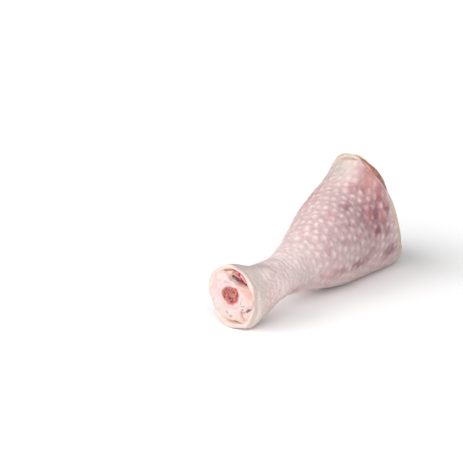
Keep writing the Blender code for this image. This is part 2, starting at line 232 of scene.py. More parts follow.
@dataclass
class LegForm:
    """The form that all layers share: oval sections strung along the leg, hock to knee.

    A station is a share of the leg's length and the section there: half its width, half its
    height, and how far its centre lies to the side and above the table. Fields that end in at,
    spread, half or soft are angles round the section, in degrees.
    """

    length: float = 122.0
    stations: tuple[tuple[float, ...], ...] = (
        (0.00, 14.0, 16.0, 1.5, 16.0),
        (0.07, 11.0, 15.0, 0.0, 14.5),
        (0.16, 12.5, 10.0, -1.5, 17.0),
        (0.28, 11.0, 9.5, -2.5, 18.0),
        (0.42, 14.0, 13.5, -2.0, 19.0),
        (0.58, 19.0, 20.0, -1.0, 21.5),
        (0.74, 23.0, 24.5, 1.5, 23.0),
        (0.88, 24.0, 29.0, 1.5, 26.0),
        (1.00, 25.0, 33.9, 1.0, 30.9),
    )
    hock_slant: Place = (0.06, -0.02)
    knee_slant: Place = (0.46, -0.54)
    hock_slant_end: float = 0.25
    knee_slant_start: float = 0.72
    sag_blend: float = 2.0
    skin: float = 1.6
    hock_skin_extra: float = 0.7
    hock_fat_extra: float = 2.4
    hock_lip_extra: float = 1.3
    hock_lip_at: float = 145.0
    hock_lip_spread: float = 13.0
    hock_thickening_end: float = 0.12
    knee_skin_extra: float = 0.6
    knee_thickening_start: float = 0.88
    fold_extra: float = 1.6
    fold_at: float = 75.0
    fold_spread: float = 28.0
    lip: float = 0.8
    skin_end: float = 0.975
    drawn_back: float = 0.023
    drawn_back_at: float = 119.0
    drawn_back_spread: float = 13.0
    even_rings_end: float = 0.90
    bone_stations: Path = (
        (0.0, 6.4), (0.12, 5.2), (0.3, 4.3), (0.62, 4.3), (0.85, 6.6), (1.0, 9.2),
    )
    bone_side: Path = ((0.0, 0.0), (0.3, 0.0), (0.7, 0.0), (1.0, -1.0))
    bone_rise: Path = ((0.0, 1.6), (0.3, 0.0), (0.7, 1.5), (1.0, 1.0))
    bone_end: float = 0.985
    bone_gap: float = 0.1
    dome_start: float = 0.014
    dome_inset: float = 0.6
    dome_tuck: float = 5.0
    dome_tuck_at: float = 177.0
    dome_tuck_half: float = 43.0
    dome_tuck_soft: float = 15.0
    dome_height: float = 6.0
    dome_sag: float = 2.0
    dome_bowl: float = 0.14
    dome_square: float = 0.55
    dome_fullness: float = 0.9
    dome_flare: float = math.radians(30)
    shift: Array = field(default_factory=lambda: np.zeros(3))

    def __post_init__(self) -> None:
        """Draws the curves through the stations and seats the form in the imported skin's box."""
        columns = [[(row[0], row[i]) for row in self.stations] for i in range(1, 5)]
        self.half_width, self.half_height, self.side, self.rise = map(SmoothCurve, columns)
        self.bone_radius = SmoothCurve(self.bone_stations)
        self.bone_aside = SmoothCurve(self.bone_side)
        self.bone_above = SmoothCurve(self.bone_rise)
        low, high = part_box("skin")
        angle = np.linspace(0, TURN, 180)
        edge = self.outer(np.zeros(180), angle, 0.5 * self.skin_depth(0.0, angle), -self.lip)
        body = self.outer(np.linspace(0, self.skin_end, 160)[:, None], angle[None])
        middle = (body[..., 1].min() + body[..., 1].max()) / 2
        self.shift = np.array((low.x - edge[..., 0].min(), (low.y + high.y) / 2 - middle, 0.0))

    def slant(self, s: Amount) -> tuple[Array, Array]:
        """Lean of the section at s along X, for each millimetre sideways and upward.

        Args:
            s: Share of the leg's length.

        Returns:
            The lean sideways and the lean upward.
        """
        hock = (1 - ramp(s, 0.0, self.hock_slant_end)) ** 2
        knee = ramp(s, self.knee_slant_start, 1.0) ** 1.5
        pairs = zip(self.hock_slant, self.knee_slant)
        sideways, upward = (hock * at_hock + knee * at_knee for at_hock, at_knee in pairs)
        return sideways, upward

    def place(self, s: Amount, side: Array, up: Array, out: Amount = 0.0, table: Amount = 0.0) -> Array:
        """Places points in the frame.

        Args:
            s: Share of the leg's length at which each point's section lies.
            side: How far to the side of the section's centre.
            up: How far above the section's centre.
            out: How far out of the section's plane, towards the knee.
            table: Height at which the soft layer lies on what is under it.

        Returns:
            Points in metres, with the three coordinates last.
        """
        sideways, upward = self.slant(s)
        above = self.rise(s) + up - table
        blend = self.sag_blend
        soft = (above + blend) ** 2 / (4 * blend)
        height = table + np.where(above <= -blend, 0.0, np.where(above >= blend, above, soft))
        norm = np.sqrt(1 + sideways**2 + upward**2)
        along = np.asarray(s) * self.length + sideways * side + upward * up + out / norm
        across = self.side(s) + side - out * sideways / norm
        high = height - out * upward / norm
        return np.stack(np.broadcast_arrays(along, across, high), -1) * MM + self.shift

    def outer(self, s: Amount, angle: Array, inset: Amount = 0.0, out: Amount = 0.0) -> Array:
        """Points of the leg's outer form, or of a layer the given depth inside it.

        Args:
            s: Share of the leg's length.
            angle: Angle round the section.
            inset: Depth inside the form.
            out: How far out of the section's plane, towards the knee.

        Returns:
            Points in metres.
        """
        side = (self.half_width(s) - inset) * np.cos(angle)
        up = (self.half_height(s) - inset) * np.sin(angle)
        return self.place(s, side, up, out, inset)

    def about_bone(self, s: Amount, angle: Array, radius: Amount, out: Amount = 0.0) -> Array:
        """Points round the bone's own centre line."""
        side = self.bone_aside(s) + radius * np.cos(angle)
        return self.place(s, side, self.bone_above(s) + radius * np.sin(angle), out)

    def skin_depth(self, s: Amount, angle: Amount) -> Array:
        """Skin thickness, which grows at the cut ends and under the hock.

        Args:
            s: Share of the leg's length.
            angle: Angle round the section.

        Returns:
            Depths in millimetres.
        """
        hock = (1 - ramp(s, 0.0, self.hock_thickening_end)) ** 2
        under = np.maximum(0.0, -np.sin(angle)) ** 2
        knee = ramp(s, self.knee_thickening_start, self.skin_end)
        fold = self.fold_extra * hump(angle, self.fold_at, self.fold_spread)
        lip = self.hock_lip_extra * hump(angle, self.hock_lip_at, self.hock_lip_spread)
        hock_extra = self.hock_skin_extra + self.hock_fat_extra * under + lip
        return self.skin + hock * hock_extra + knee * (self.knee_skin_extra + fold)

    def edge(self, angle: Amount) -> Array:
        """Where the skin stops at the knee, with the stretch that has shrunk back."""
        shrunk = hump(angle, self.drawn_back_at, self.drawn_back_spread)
        return self.skin_end - self.drawn_back * shrunk

    def fanned(self, share: Amount, angle: Array) -> Array:
        """Rings that are even near the hock and fan out to the skin's uneven edge.

        Args:
            share: Share of the way to the skin's edge.
            angle: Angle round the section.

        Returns:
            Shares of the leg's length.
        """
        even = self.even_rings_end
        fan = even + ramp(share, even, 1.0) * (self.edge(angle) - even)
        return np.where(np.asarray(share) <= even, share, fan)

    def dome(self, angle: Array, tilt: Array, raised: Amount = 0.0) -> Array:
        """Points on the meat's bulging end.

        Args:
            angle: Angle round the section.
            tilt: From 0 at the dome's foot by the skin to a quarter turn at its crest.
            raised: Height above the dome.

        Returns:
            Points in metres.
        """
        start = self.edge(angle) + self.dome_start
        s = start + (self.bone_end - start) * ramp(tilt, 0.0, self.dome_flare)
        inset = self.dome_inset + self.fold_extra * hump(angle, self.fold_at, self.fold_spread)
        tucked = stretch(angle, self.dome_tuck_at, self.dome_tuck_half, self.dome_tuck_soft)
        inset = inset + self.dome_tuck * tucked
        reach = np.maximum(0.0, np.cos(tilt)) ** self.dome_square
        share = (self.dome_bowl + (1 - self.dome_bowl) * reach)[..., None]
        out = self.dome_height * np.sin(tilt) ** self.dome_fullness + raised
        inside = self.about_bone(s, angle, self.bone_radius(s) + self.bone_gap, out)
        droop = np.zeros_like(inside)
        droop[..., 2] = self.dome_sag * np.sin(tilt) * MM
        return inside + (self.outer(s, angle, inset, out) - inside) * share - droop


def facing(rings: Array) -> Array:
    """Unit normals of a grid of rings, pointing to the right of the way that it runs.

    Args:
        rings: Points, as rows of closed rings.

    Returns:
        One unit vector for each point.
    """
    along = np.gradient(rings, axis=0)
    round_it = np.roll(rings, -1, axis=1) - np.roll(rings, 1, axis=1)
    normal = np.cross(round_it, along)
    return normal / np.maximum(np.linalg.norm(normal, axis=-1, keepdims=True), 1e-12)


def placed(name: str, data: bpy.types.ID) -> bpy.types.Object:
    """Puts a mesh, a light or a camera into the scene.

    Args:
        name: The object's name.
        data: What it shows.

    Returns:
        The object.
    """
    thing = bpy.data.objects.new(name, data)
    bpy.context.scene.collection.objects.link(thing)
    return thing


@dataclass
class RingMesh:
    """Rings of points that become one closed surface.

    The layers are numbers painted on the points, which the finishes read by name.
    """

    rings: Array
    layers: dict[str, Array]
    looped: bool = True

    def make(self, name: str) -> bpy.types.Object:
        """Makes the piece.

        Args:
            name: The piece's name.

        Returns:
            A smooth mesh object in the scene.
        """
        rows, around, _ = self.rings.shape
        points = self.rings.reshape(-1, 3)
        shape = (rows, around)
        painted = {key: np.broadcast_to(layer, shape).ravel() for key, layer in self.layers.items()}
        index = np.arange(rows * around).reshape(rows, around)
        here = index if self.looped else index[:-1]
        there = np.roll(index, -1, axis=0) if self.looped else index[1:]
        turned_here, turned_there = np.roll(here, -1, axis=1), np.roll(there, -1, axis=1)
        quads = np.stack([here, there, turned_there, turned_here], -1).reshape(-1, 4)
        faces = quads.tolist()
        if not self.looped:
            ends = (index[0], index[-1][::-1])
            middles = np.array([points[end].mean(axis=0) for end in ends])
            points = np.concatenate([points, middles])
            painted = {
                key: np.concatenate([value, [value[end].mean() for end in ends]])
                for key, value in painted.items()
            }
            for end, middle in zip(ends, (rows * around, rows * around + 1)):
                pairs = zip(end, np.roll(end, -1))
                faces += [[int(a), int(b), middle] for a, b in pairs]
        mesh = bpy.data.meshes.new(name)
        mesh.from_pydata(points.tolist(), [], faces)
        for key, value in painted.items():
            layer = mesh.attributes.new(key, "FLOAT", "POINT")
            layer.data.foreach_set("value", np.ascontiguousarray(value, np.float32))
        mesh.validate()
        if self._inside_out(mesh):
            mesh.flip_normals()
        mesh.shade_smooth()
        return placed(name, mesh)

    @staticmethod
    def _inside_out(mesh: bpy.types.Mesh) -> bool:
        """Whether the surface encloses a negative volume.

        Args:
            mesh: The mesh.

        Returns:
            True if its faces point inward.
        """
        mesh.calc_loop_triangles()
        corners = np.zeros(len(mesh.loop_triangles) * 3, np.int32)
        mesh.loop_triangles.foreach_get("vertices", corners)
        points = np.zeros(len(mesh.vertices) * 3, np.float32)
        mesh.vertices.foreach_get("co", points)
        a, b, c = points.reshape(-1, 3)[corners.reshape(-1, 3)].transpose(1, 0, 2).astype(float)
        return float(np.einsum("ij,ij->i", a, np.cross(b, c)).sum()) < 0


class Sum(Enum):
    """What a Math node does with two values."""

    ADD = "ADD"
    SUBTRACT = "SUBTRACT"
    MULTIPLY = "MULTIPLY"


class Wire:
    """One value or colour on a material's board, on which arithmetic adds nodes."""

    def __init__(self, board: "Board", socket: bpy.types.NodeSocket) -> None:
        """Holds an output socket of a board."""
        self.board = board
        self.socket = socket

    def __add__(self, other: "Wire | float") -> "Wire":
        """The sum."""
        return self.board.sum(Sum.ADD, self, other)

    __radd__ = __add__

    def __mul__(self, other: "Wire | float") -> "Wire":
        """The product."""
        return self.board.sum(Sum.MULTIPLY, self, other)

    __rmul__ = __mul__

    def __sub__(self, other: "Wire | float") -> "Wire":
        """The difference."""
        return self.board.sum(Sum.SUBTRACT, self, other)

    def __rsub__(self, other: float) -> "Wire":
        """A number less this value."""
        return self.board.sum(Sum.SUBTRACT, other, self)

    def held(self) -> "Wire":
        """This value kept between 0 and 1."""
        return self.board.sum(Sum.ADD, self, 0.0, clamped=True)

    def between(self, low: float, high: float) -> "Wire":
        """0 below low, 1 above high, with soft corners.

        Args:
            low: Where it starts to rise.
            high: Where it reaches 1.

        Returns:
            The new value.
        """
        settings = {"interpolation_type": "SMOOTHSTEP"}
        sockets = {"Value": self, "From Min": low, "From Max": high}
        return self.board.add("ShaderNodeMapRange", settings, sockets)


class Board:
    """The node board of one material, with its Principled shader."""

    def __init__(self, name: str) -> None:
        """Starts an empty material of that name.

        Args:
            name: The material's name.
        """
        self.material = bpy.data.materials.new(name)
        self.material.use_nodes = True
        self.tree = self.material.node_tree
        self.shader = self.tree.nodes["Principled BSDF"]

    def add(
        self,
        kind: str,
        settings: dict[str, Any] | None = None,
        sockets: dict[str | int, Any] | None = None,
        output: str | int = 0,
    ) -> Wire:
        """Adds a node.

        Args:
            kind: The node's type.
            settings: Its own settings, which are set first.
            sockets: Values or wires for its inputs, by name or place.
            output: Which output to take.

        Returns:
            That output.
        """
        node = self.tree.nodes.new(kind)
        for key, value in (settings or {}).items():
            setattr(node, key, value)
        for key, value in (sockets or {}).items():
            if isinstance(value, Wire):
                self.tree.links.new(value.socket, node.inputs[key])
            else:
                node.inputs[key].default_value = value
        return Wire(self, node.outputs[output])

    def sum(self, how: Sum, one: Wire | float, other: Wire | float, clamped: bool = False) -> Wire:
        """A Math node on two values, kept between 0 and 1 if clamped."""
        settings = {"operation": how.value, "use_clamp": clamped}
        return self.add("ShaderNodeMath", settings, {0: one, 1: other})

    def layer(self, name: str) -> Wire:
        """A number painted on the mesh."""
        return self.add("ShaderNodeAttribute", {"attribute_name": name}, output="Fac")

    def noise(self, size: float, detail: float = 2.0, rough: float = 0.5) -> Wire:
        """Soft noise from 0 to 1.

        Args:
            size: Rough distance from blot to blot in millimetres.
            detail: How many finer octaves it has.
            rough: How strong those are.

        Returns:
            The noise.
        """
        place = self.add("ShaderNodeTexCoord", output="Object")
        scale = 1.0 / (size * MM)
        sockets = {"Vector": place, "Scale": scale, "Detail": detail, "Roughness": rough}
        return self.add("ShaderNodeTexNoise", None, sockets, "Fac")

    def mix(self, share: Wire, under: Wire | Colour, over: Wire | Colour) -> Wire:
        """Lays one colour over another, by a share from 0 to 1."""
        lower, upper = (side if isinstance(side, Wire) else (*side, 1.0) for side in (under, over))
        return self.add("ShaderNodeMix", {"data_type": "RGBA"}, {0: share, 6: lower, 7: upper}, 2)

    def lay(self, under: Wire | Colour, *coats: tuple[str, Colour, Wire | None]) -> Wire:
        """Lays colours over another, each where a painted layer asks for it.

        Args:
            under: The colour below.
            coats: For each, from the lowest up, its layer, its colour and what varies its
                strength, or None if nothing does.

        Returns:
            The blend.
        """
        for layer, colour, varied in coats:
            share = self.layer(layer)
            under = self.mix(share if varied is None else (share * varied).held(), under, colour)
        return under

    def give(
        self,
        piece: bpy.types.Object,
        base: Wire,
        roughness: Wire,
        grain: Wire,
        depth: float,
        wet: "Moisture",
    ) -> None:
        """Wires up the shader and gives the material to a piece.

        Args:
            piece: The piece.
            base: Its colour.
            roughness: Its roughness.
            grain: The height of its fine grain, from 0 to 1.
            depth: What a height of 1 stands for, in millimetres.
            wet: How it takes light.
        """
        sockets = {"Distance": depth * MM, "Height": grain}
        normal = self.add("ShaderNodeBump", None, sockets, "Normal")
        for key, wire in {"Base Color": base, "Roughness": roughness, "Normal": normal}.items():
            self.tree.links.new(wire.socket, self.shader.inputs[key])
        self.fix(wet.inputs())
        piece.data.materials.append(self.material)

    def fix(self, values: dict[str, Any]) -> None:
        """Sets the shader's inputs that are the same all over."""
        for key, value in values.items():
            self.shader.inputs[key].default_value = value


@dataclass(frozen=True)
class Moisture:
    """How a raw surface takes light: how far it glows through, and how wet it is."""

    glow: float = 0.25
    glow_depth: float = 2.0
    glow_tint: Colour = (1.0, 0.45, 0.35)
    specular: float = 0.4
    coat: float = 0.0
    coat_roughness: float = 0.2

    def inputs(self) -> dict[str, Any]:
        """The shader's constant inputs.

        Returns:
            A value for each input.
        """
        return {
            "Subsurface Weight": self.glow,
            "Subsurface Scale": self.glow_depth * MM,
            "Subsurface Radius": self.glow_tint,
            "Specular IOR Level": self.specular,
            "Coat Weight": self.coat,
            "Coat Roughness": self.coat_roughness,
        }


@dataclass(frozen=True)
class SkinFinish:
    """Pale plucked skin: cream follicle bumps on pink, with the meat showing through mauve."""

    pale: Colour = (0.66, 0.53, 0.505)
    pink: Colour = (0.50, 0.35, 0.355)
    lilac: Colour = (0.41, 0.28, 0.31)
    mauve: Colour = (0.29, 0.14, 0.165)
    deep: Colour = (0.23, 0.065, 0.075)
    rose: Colour = (0.56, 0.25, 0.26)
    grey: Colour = (0.70, 0.58, 0.565)
    ash: Colour = (0.42, 0.36, 0.33)
    cream: Colour = (0.48, 0.385, 0.305)
    peach: Colour = (0.62, 0.46, 0.36)
    rim: Colour = (0.55, 0.445, 0.40)
    # painted light: a pale colour that brightens the neck just behind the hock's rim, where the rim
    # shades it
    painted_light: Colour = (0.80, 0.69, 0.65)
    # brown: spots near the knee's edge, and painted shade in the hock's crease and on the knee lip's
    # inner side
    brown: Colour = (0.25, 0.12, 0.075)
    raw: Colour = (0.40, 0.07, 0.07)
    wet: Moisture = Moisture(
        glow=0.35, glow_depth=1.6, specular=0.45, coat=0.06, coat_roughness=0.3
    )

    def dress(self, piece: bpy.types.Object) -> None:
        """Gives the piece its material.

        Args:
            piece: The piece.
        """
        board = Board("skin")
        bump, blush = board.layer("bump"), board.layer("blush")
        mottle = board.noise(9.0, 3.0, 0.6)
        blotch = board.noise(4.2, 3.0, 0.65)
        fine = board.noise(1.5, 3.0, 0.7)
        under = board.mix(blotch.between(0.40, 0.66) * 0.9, self.pink, self.lilac)
        under = board.mix((blush * 1.6 + mottle * 0.9 - 0.36).held(), under, self.mauve)
        under = board.mix(((blush - 0.75) * 2.0 + blotch * 1.3 - 0.5).held(), under, self.deep)
        cover = 0.40 + bump * (0.74 - blush * 0.32) - blush * 0.48 + (fine - 0.5) * 0.9
        base = board.mix(cover.held(), under, self.pale)
        base = board.lay(
            base,
            ("rose", self.rose, blotch * 2.2 - 0.4),
            ("shank", self.grey, 0.45 + mottle * 0.9),
            ("ash", self.ash, 0.3 + blotch * 1.1),
            ("peach", self.peach, 0.4 + blotch),
            ("cream", self.cream, 0.5 + blotch),
            # painted light on the neck just behind the hock's rim
            ("painted_light", self.painted_light, None),
            ("rim", self.rim, None),
            ("brown", self.brown, 0.35 + blotch * 1.1),
            ("raw", self.raw, None),
        )
        grain = board.noise(0.6, 2.0) * 0.4 + board.noise(1.7, 3.0, 0.65)
        board.give(piece, base, 0.40 + board.noise(5.0, 2.0) * 0.16, grain, 0.35, self.wet)


@dataclass(frozen=True)
class Coat:
    """A colour over a tissue, where the painted layer of that name asks for it.

    Its strength has a steady share and a share that varies with the tissue's patches.
    """

    layer: str
    colour: Colour
    steady: float = 1.0
    varied: float = 0.0


@dataclass(frozen=True)
class Tissue:
    """A raw tissue: patches of two tones, coats of other colours and a fine, wet grain.

    The patches have a size in millimetres, a strength of detail, and the values between which
    the tone changes. The grain has a size, a strength of detail and a depth. The shine has its
    least roughness, how much that varies, and the size over which it does.
    """

    name: str
    light: Colour
    dark: Colour
    patches: tuple[float, float, float, float]
    grain: tuple[float, float, float]
    shine: tuple[float, float, float]
    wet: Moisture
    coats: tuple[Coat, ...] = ()

    def dress(self, piece: bpy.types.Object) -> None:
        """Gives the piece its material.

        Args:
            piece: The piece.
        """
        board = Board(self.name)
        size, detail, low, high = self.patches
        mottle = board.noise(size, 4.0, detail)
        base = board.mix(mottle.between(low, high), self.light, self.dark)
        for coat in self.coats:
            varied = coat.steady + mottle * coat.varied if coat.varied else None
            base = board.lay(base, (coat.layer, coat.colour, varied))
        least, spread, size = self.shine
        roughness = least + board.noise(size, 2.0) * spread
        size, detail, depth = self.grain
        board.give(piece, base, roughness, board.noise(size, 3.0, detail), depth, self.wet)


MEAT = Tissue(
    "meat",
    light=(0.25, 0.068, 0.042),
    dark=(0.37, 0.135, 0.09),
    patches=(7.0, 0.6, 0.35, 0.7),
    grain=(1.0, 0.6, 0.25),
    shine=(0.28, 0.25, 3.0),
    wet=Moisture(glow=0.2, glow_depth=1.6, specular=0.5, coat=0.35, coat_roughness=0.18),
    coats=(Coat("fibre", (0.53, 0.31, 0.245), 0.0, 1.0), Coat("fat", (0.60, 0.46, 0.33))),
)
GRISTLE = Tissue(
    "gristle",
    light=(0.53, 0.43, 0.415),
    dark=(0.51, 0.345, 0.34),
    patches=(4.0, 0.6, 0.4, 0.75),
    grain=(0.9, 0.6, 0.15),
    shine=(0.36, 0.2, 3.0),
    wet=Moisture(glow=0.25, glow_depth=1.6, specular=0.45, coat=0.12),
    coats=(
        Coat("fat", (0.53, 0.41, 0.34), 0.5, 1.0),
        Coat("peach", (0.52, 0.31, 0.265), 0.6, 0.8),
        Coat("red", (0.45, 0.10, 0.095), 0.4, 1.2),
        # brown lies mostly as painted shade in the crease and the fold; dark is painted shade in the
        # pits, the cut and the slit
        Coat("brown", (0.36, 0.16, 0.085), 0.5, 1.0),
        Coat("dark", (0.09, 0.025, 0.02)),
    ),
)
TEAR = Tissue(
    "torn flesh",
    light=(0.34, 0.03, 0.04),
    dark=(0.34, 0.03, 0.04),
    patches=(1.8, 0.65, 0.4, 0.7),
    grain=(0.8, 0.6, 0.2),
    shine=(0.3, 0.25, 2.0),
    wet=Moisture(glow=0.15, glow_depth=1.0, specular=0.5, coat=0.3),
    coats=(
        Coat("strand", (0.62, 0.25, 0.27), 0.4, 1.2),
        Coat("tan", (0.62, 0.42, 0.31), 0.5, 1.0),
        # painted shade: brown along the tear's upper edge and in its grooves, near black in its clefts
        Coat("brown_shade", (0.24, 0.10, 0.07), 0.5, 1.0),
        Coat("dark", (0.05, 0.004, 0.008), 0.7, 1.0),
    ),
)
FAT = Tissue(
    "fat",
    light=(0.86, 0.72, 0.50),
    dark=(0.80, 0.58, 0.36),
    patches=(3.0, 0.6, 0.35, 0.72),
    grain=(0.9, 0.55, 0.15),
    shine=(0.32, 0.15, 1.8),
    wet=Moisture(glow=0.2, glow_depth=2.0, specular=0.5, coat=0.2),
)
CARTILAGE = Tissue(
    "cartilage",
    light=(0.80, 0.76, 0.73),
    dark=(0.72, 0.58, 0.54),
    patches=(6.0, 0.6, 0.35, 0.72),
    grain=(1.8, 0.55, 0.15),
    shine=(0.22, 0.15, 3.6),
    wet=Moisture(glow=0.25, specular=0.5, coat=0.4),
)


@dataclass(frozen=True)
class MarrowFinish:
    """Wet red spongy bone, with pale struts and dark pores."""

    red: Colour = (0.20, 0.032, 0.032)
    strut: Colour = (0.40, 0.12, 0.085)
    pore: Colour = (0.06, 0.014, 0.01)
    edge: Colour = (0.43, 0.115, 0.12)
    wet: Moisture = Moisture(glow=0.15, glow_depth=1.2, specular=0.5, coat=0.3)

    def dress(self, piece: bpy.types.Object) -> None:
        """Gives the piece its material.

        Args:
            piece: The piece.
        """
        board = Board("marrow")
        sponge = board.layer("sponge")
        base = board.mix(sponge.between(0.35, 0.85), self.red, self.strut)
        base = board.mix(1 - sponge.between(0.1, 0.35), base, self.pore)
        base = board.lay(base, ("edge", self.edge, None))
        grain = board.noise(0.7, 3.0, 0.6)
        board.give(piece, base, 0.3 + board.noise(2.0, 2.0) * 0.25, grain, 0.2, self.wet)


@dataclass(frozen=True)
class FloorFinish:
    """A matte white sweep."""

    white: Colour = (0.97, 0.97, 0.97)

    def dress(self, piece: bpy.types.Object) -> None:
        """Gives the piece its material.

        Args:
            piece: The piece.
        """
        board = Board("floor")
        board.fix({"Base Color": (*self.white, 1.0), "Roughness": 1.0, "Specular IOR Level": 0.0})
        piece.data.materials.append(board.material)


@dataclass
class Follicles:
    """The feather follicles: rows of bumps round the leg, each row offset from the last.

    The rows line up at an angle in degrees. The bumps' sizes and heights are ranges of shares.
    """

    neck_spacing: float = 2.3
    body_spacing: float = 4.8
    neck_end: float = 24.0
    body_start: float = 54.0
    first: float = 9.0
    last: float = 165.0
    row_pitch: float = 0.9
    lined_up_at: float = 155.0
    fewest: int = 8
    wander: float = 0.10
    cap: float = 0.28
    sizes: tuple[float, float] = (0.8, 1.2)
    heights: tuple[float, float] = (0.6, 1.0)
    seed: int = 11

    def spacing(self, walk: Amount) -> Array:
        """Distance between bumps at a distance along the skin from the hock."""
        grown = ease(walk, self.neck_end, self.body_start)
        return self.neck_spacing + (self.body_spacing - self.neck_spacing) * grown

    def caps(self, walk: Array, angle: Array, pace: Array, girth: SmoothCurve) -> Array:
        """How high each point lies on the bumps.

        Args:
            walk: Distance along the skin from the hock.
            angle: Angle round the leg.
            pace: Distance round the leg for each radian.
            girth: Distance round the leg by walk.

        Returns:
            0 between bumps, 1 on top of one.
        """
        places = [self.first]
        while places[-1] < self.last:
            places.append(places[-1] + self.row_pitch * float(self.spacing(places[-1])))
        place = np.array(places)
        spacing = self.spacing(place)
        count = np.maximum(self.fewest, np.round(girth(place) / spacing)).astype(int)
        dice = np.random.default_rng(self.seed)
        shape = (len(place), int(count.max()))
        aside, along = dice.normal(0, self.wander, (2, *shape))
        size = dice.uniform(*self.sizes, shape)
        height = dice.uniform(*self.heights, shape)
        best = np.zeros_like(walk)
        below = np.searchsorted(place, walk) - 1
        for offset in (-1, 0, 1, 2):
            row = np.clip(below + offset, 0, len(place) - 1)
            pitch = TURN / count[row]
            odd = 0.5 * (row % 2)
            seat = away(angle, self.lined_up_at) / pitch - odd
            for near in (0, 1):
                seat_here = np.floor(seat).astype(int) + near
                which = seat_here % count[row]
                off_round = (seat - seat_here - aside[row, which]) * pitch * pace
                off_along = walk - place[row] - along[row, which] * spacing[row]
                reach = self.cap * spacing[row] * size[row, which]
                gap = (off_round**2 + off_along**2) / reach**2
                best = np.maximum(best, height[row, which] * np.exp(-gap))
        return best


@dataclass(frozen=True)
class Blush:
    """A soft spot of colour on the skin.

    It has a share of the leg's length and an angle in degrees, how far it spreads in each, and
    how strong it is.
    """

    s: float
    angle: float
    long: float
    wide: float
    strength: float


def blushes(*rows: tuple[float, float, float, float, float]) -> tuple[Blush, ...]:
    """Soft spots, from the fields of each."""
    return tuple(Blush(*row) for row in rows)


@dataclass
class Skin:
    """The sleeve of skin, with its goose bumps, wrinkles, rolled edge and lining.

    The roll's at, half, soft and taper are angles in degrees. Each unevenness has a height and
    a size in millimetres, and a seed.
    """

    form: LegForm
    finish: SkinFinish = SkinFinish()
    follicles: Follicles = field(default_factory=Follicles)
    along: int = 256
    around: int = 340
    lining_rows: int = 22
    first_ring: float = 0.006
    lining_end: float = 0.012
    tucks: tuple[float, ...] = (0.06, 0.2, 0.38, 0.5, 0.62, 0.8, 0.94)
    bump_height: float = 0.42
    neck_bump_height: float = 0.10
    neck_end: float = 24.0
    body_start: float = 56.0
    wrinkle_height: float = 0.07
    wrinkle_pitch: float = 3.0
    gather_height: float = 0.22
    gather_pitch: float = 0.017
    unevenness: tuple[tuple[float, float, int], ...] = ((0.35, 26, 5), (0.16, 8, 6), (0.07, 3.4, 7))
    roll_width: float = 0.032
    roll_height: float = 0.35
    roll_crease: float = 1.0
    roll_taper: tuple[float, float] = (84.0, 108.0)
    roll_at: float = 76.0
    roll_half: float = 23.0
    roll_soft: float = 7.0
    pinks: tuple[Blush, ...] = blushes(
        (0.78, 146, 0.14, 27, 0.85), (0.8, 150, 0.07, 12, 1), (0.77, 167, 0.05, 9, 1.15),
        (0.84, 162, 0.05, 12, 0.95), (0.66, 118, 0.05, 10, 0.7), (0.61, 140, 0.05, 14, 0.5),
        (0.72, 188, 0.08, 12, 0.6), (0.88, 203, 0.06, 10, 0.95), (0.65, 198, 0.08, 9, 0.85),
        (0.52, 200, 0.06, 12, 0.6), (0.79, 110, 0.05, 10, 0.85), (0.89, 119, 0.11, 16, 1.2),
        (0.9, 140, 0.08, 15, 1.1), (0.9, 155, 0.05, 10, 1), (0.94, 127, 0.06, 12, 0.8),
        (0.88, 102, 0.05, 8, 0.6), (0.85, 176, 0.05, 9, 0.75), (0.26, 206, 0.04, 14, 0.55),
        (0.72, 155, 0.26, 55, 0.48), (0.33, 195, 0.06, 22, 0.35), (0.75, 20, 0.14, 35, 0.8),
        (0.6, 330, 0.12, 30, 0.7), (0.86, 50, 0.08, 22, 0.3), (0.84, 290, 0.09, 30, 0.6),
    )
    roses: tuple[Blush, ...] = blushes(
        (0.57, 112, 0.02, 6, 0.7), (0.735, 144, 0.02, 7, 0.5), (0.85, 160, 0.03, 7, 0.7),
        (0.81, 106, 0.02, 5, 0.6), (0.15, 112, 0.03, 14, 0.55), (0.44, 196, 0.04, 9, 0.7),
        (0.27, 232, 0.08, 14, 0.5), (0.25, 206, 0.035, 14, 0.5), (0.9, 122, 0.05, 12, 0.5),
        (0.7, 45, 0.08, 20, 0.5), (0.5, 300, 0.08, 22, 0.5),
    )
    browns: tuple[Blush, ...] = blushes(
        (0.9, 121, 0.1, 16, 0.34), (0.84, 126, 0.05, 12, 0.32), (0.89, 160, 0.07, 9, 0.2),
    )
    ashes: tuple[Blush, ...] = blushes(
        (0.89, 80, 0.09, 30, 1), (0.68, 178, 0.045, 12, 0.35), (0.56, 172, 0.06, 9, 0.45),
        (0.3, 178, 0.05, 20, 0.5), (0.7, 300, 0.08, 25, 0.5),
    )

    def build(self) -> bpy.types.Object:
        """Builds the skin and hangs it on the leg.

        Returns:
            The piece.
        """
        form = self.form
        angle = turn(self.around)
        share = np.linspace(self.first_ring, 1.0, self.along)[:, None]
        s = form.fanned(share, angle)
        face = form.outer(s, angle)
        walk = self._walked(face)
        normal = facing(face)
        caps = self._caps(face, walk, np.broadcast_to(angle, s.shape))
        rise = self._relief(face, walk, s, angle, caps) * self._free(face, share)
        face = face + normal * ((rise + self._hock_shape(s, angle)) * MM)[..., None]
        face[..., 2] = np.maximum(face[..., 2], 0.0)
        hock_lip = self._lip(np.zeros_like(angle), angle, self.tucks[::-1], -0.6 * form.lip)
        knee_stand = form.lip * (1 - 0.85 * self._notch(angle))
        knee_lip = self._lip(form.edge(angle), angle, self.tucks, knee_stand)
        lining_s = form.fanned(np.linspace(1.0, self.lining_end, self.lining_rows)[:, None], angle)
        lining = form.outer(lining_s, angle, form.skin_depth(lining_s, angle))
        rings = np.concatenate([hock_lip, face, knee_lip, lining])
        piece = RingMesh(rings, self._layers(s, angle, caps, lining_s)).make("skin_bumpy")
        self.finish.dress(piece)
        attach(piece, "root")
        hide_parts("skin")
        return piece

    def _walked(self, face: Array) -> Array:
        """Distance along the skin from the hock, in millimetres."""
        steps = np.linalg.norm(np.diff(face, axis=0), axis=-1) / MM
        return np.concatenate([np.zeros((1, face.shape[1])), np.cumsum(steps, axis=0)])

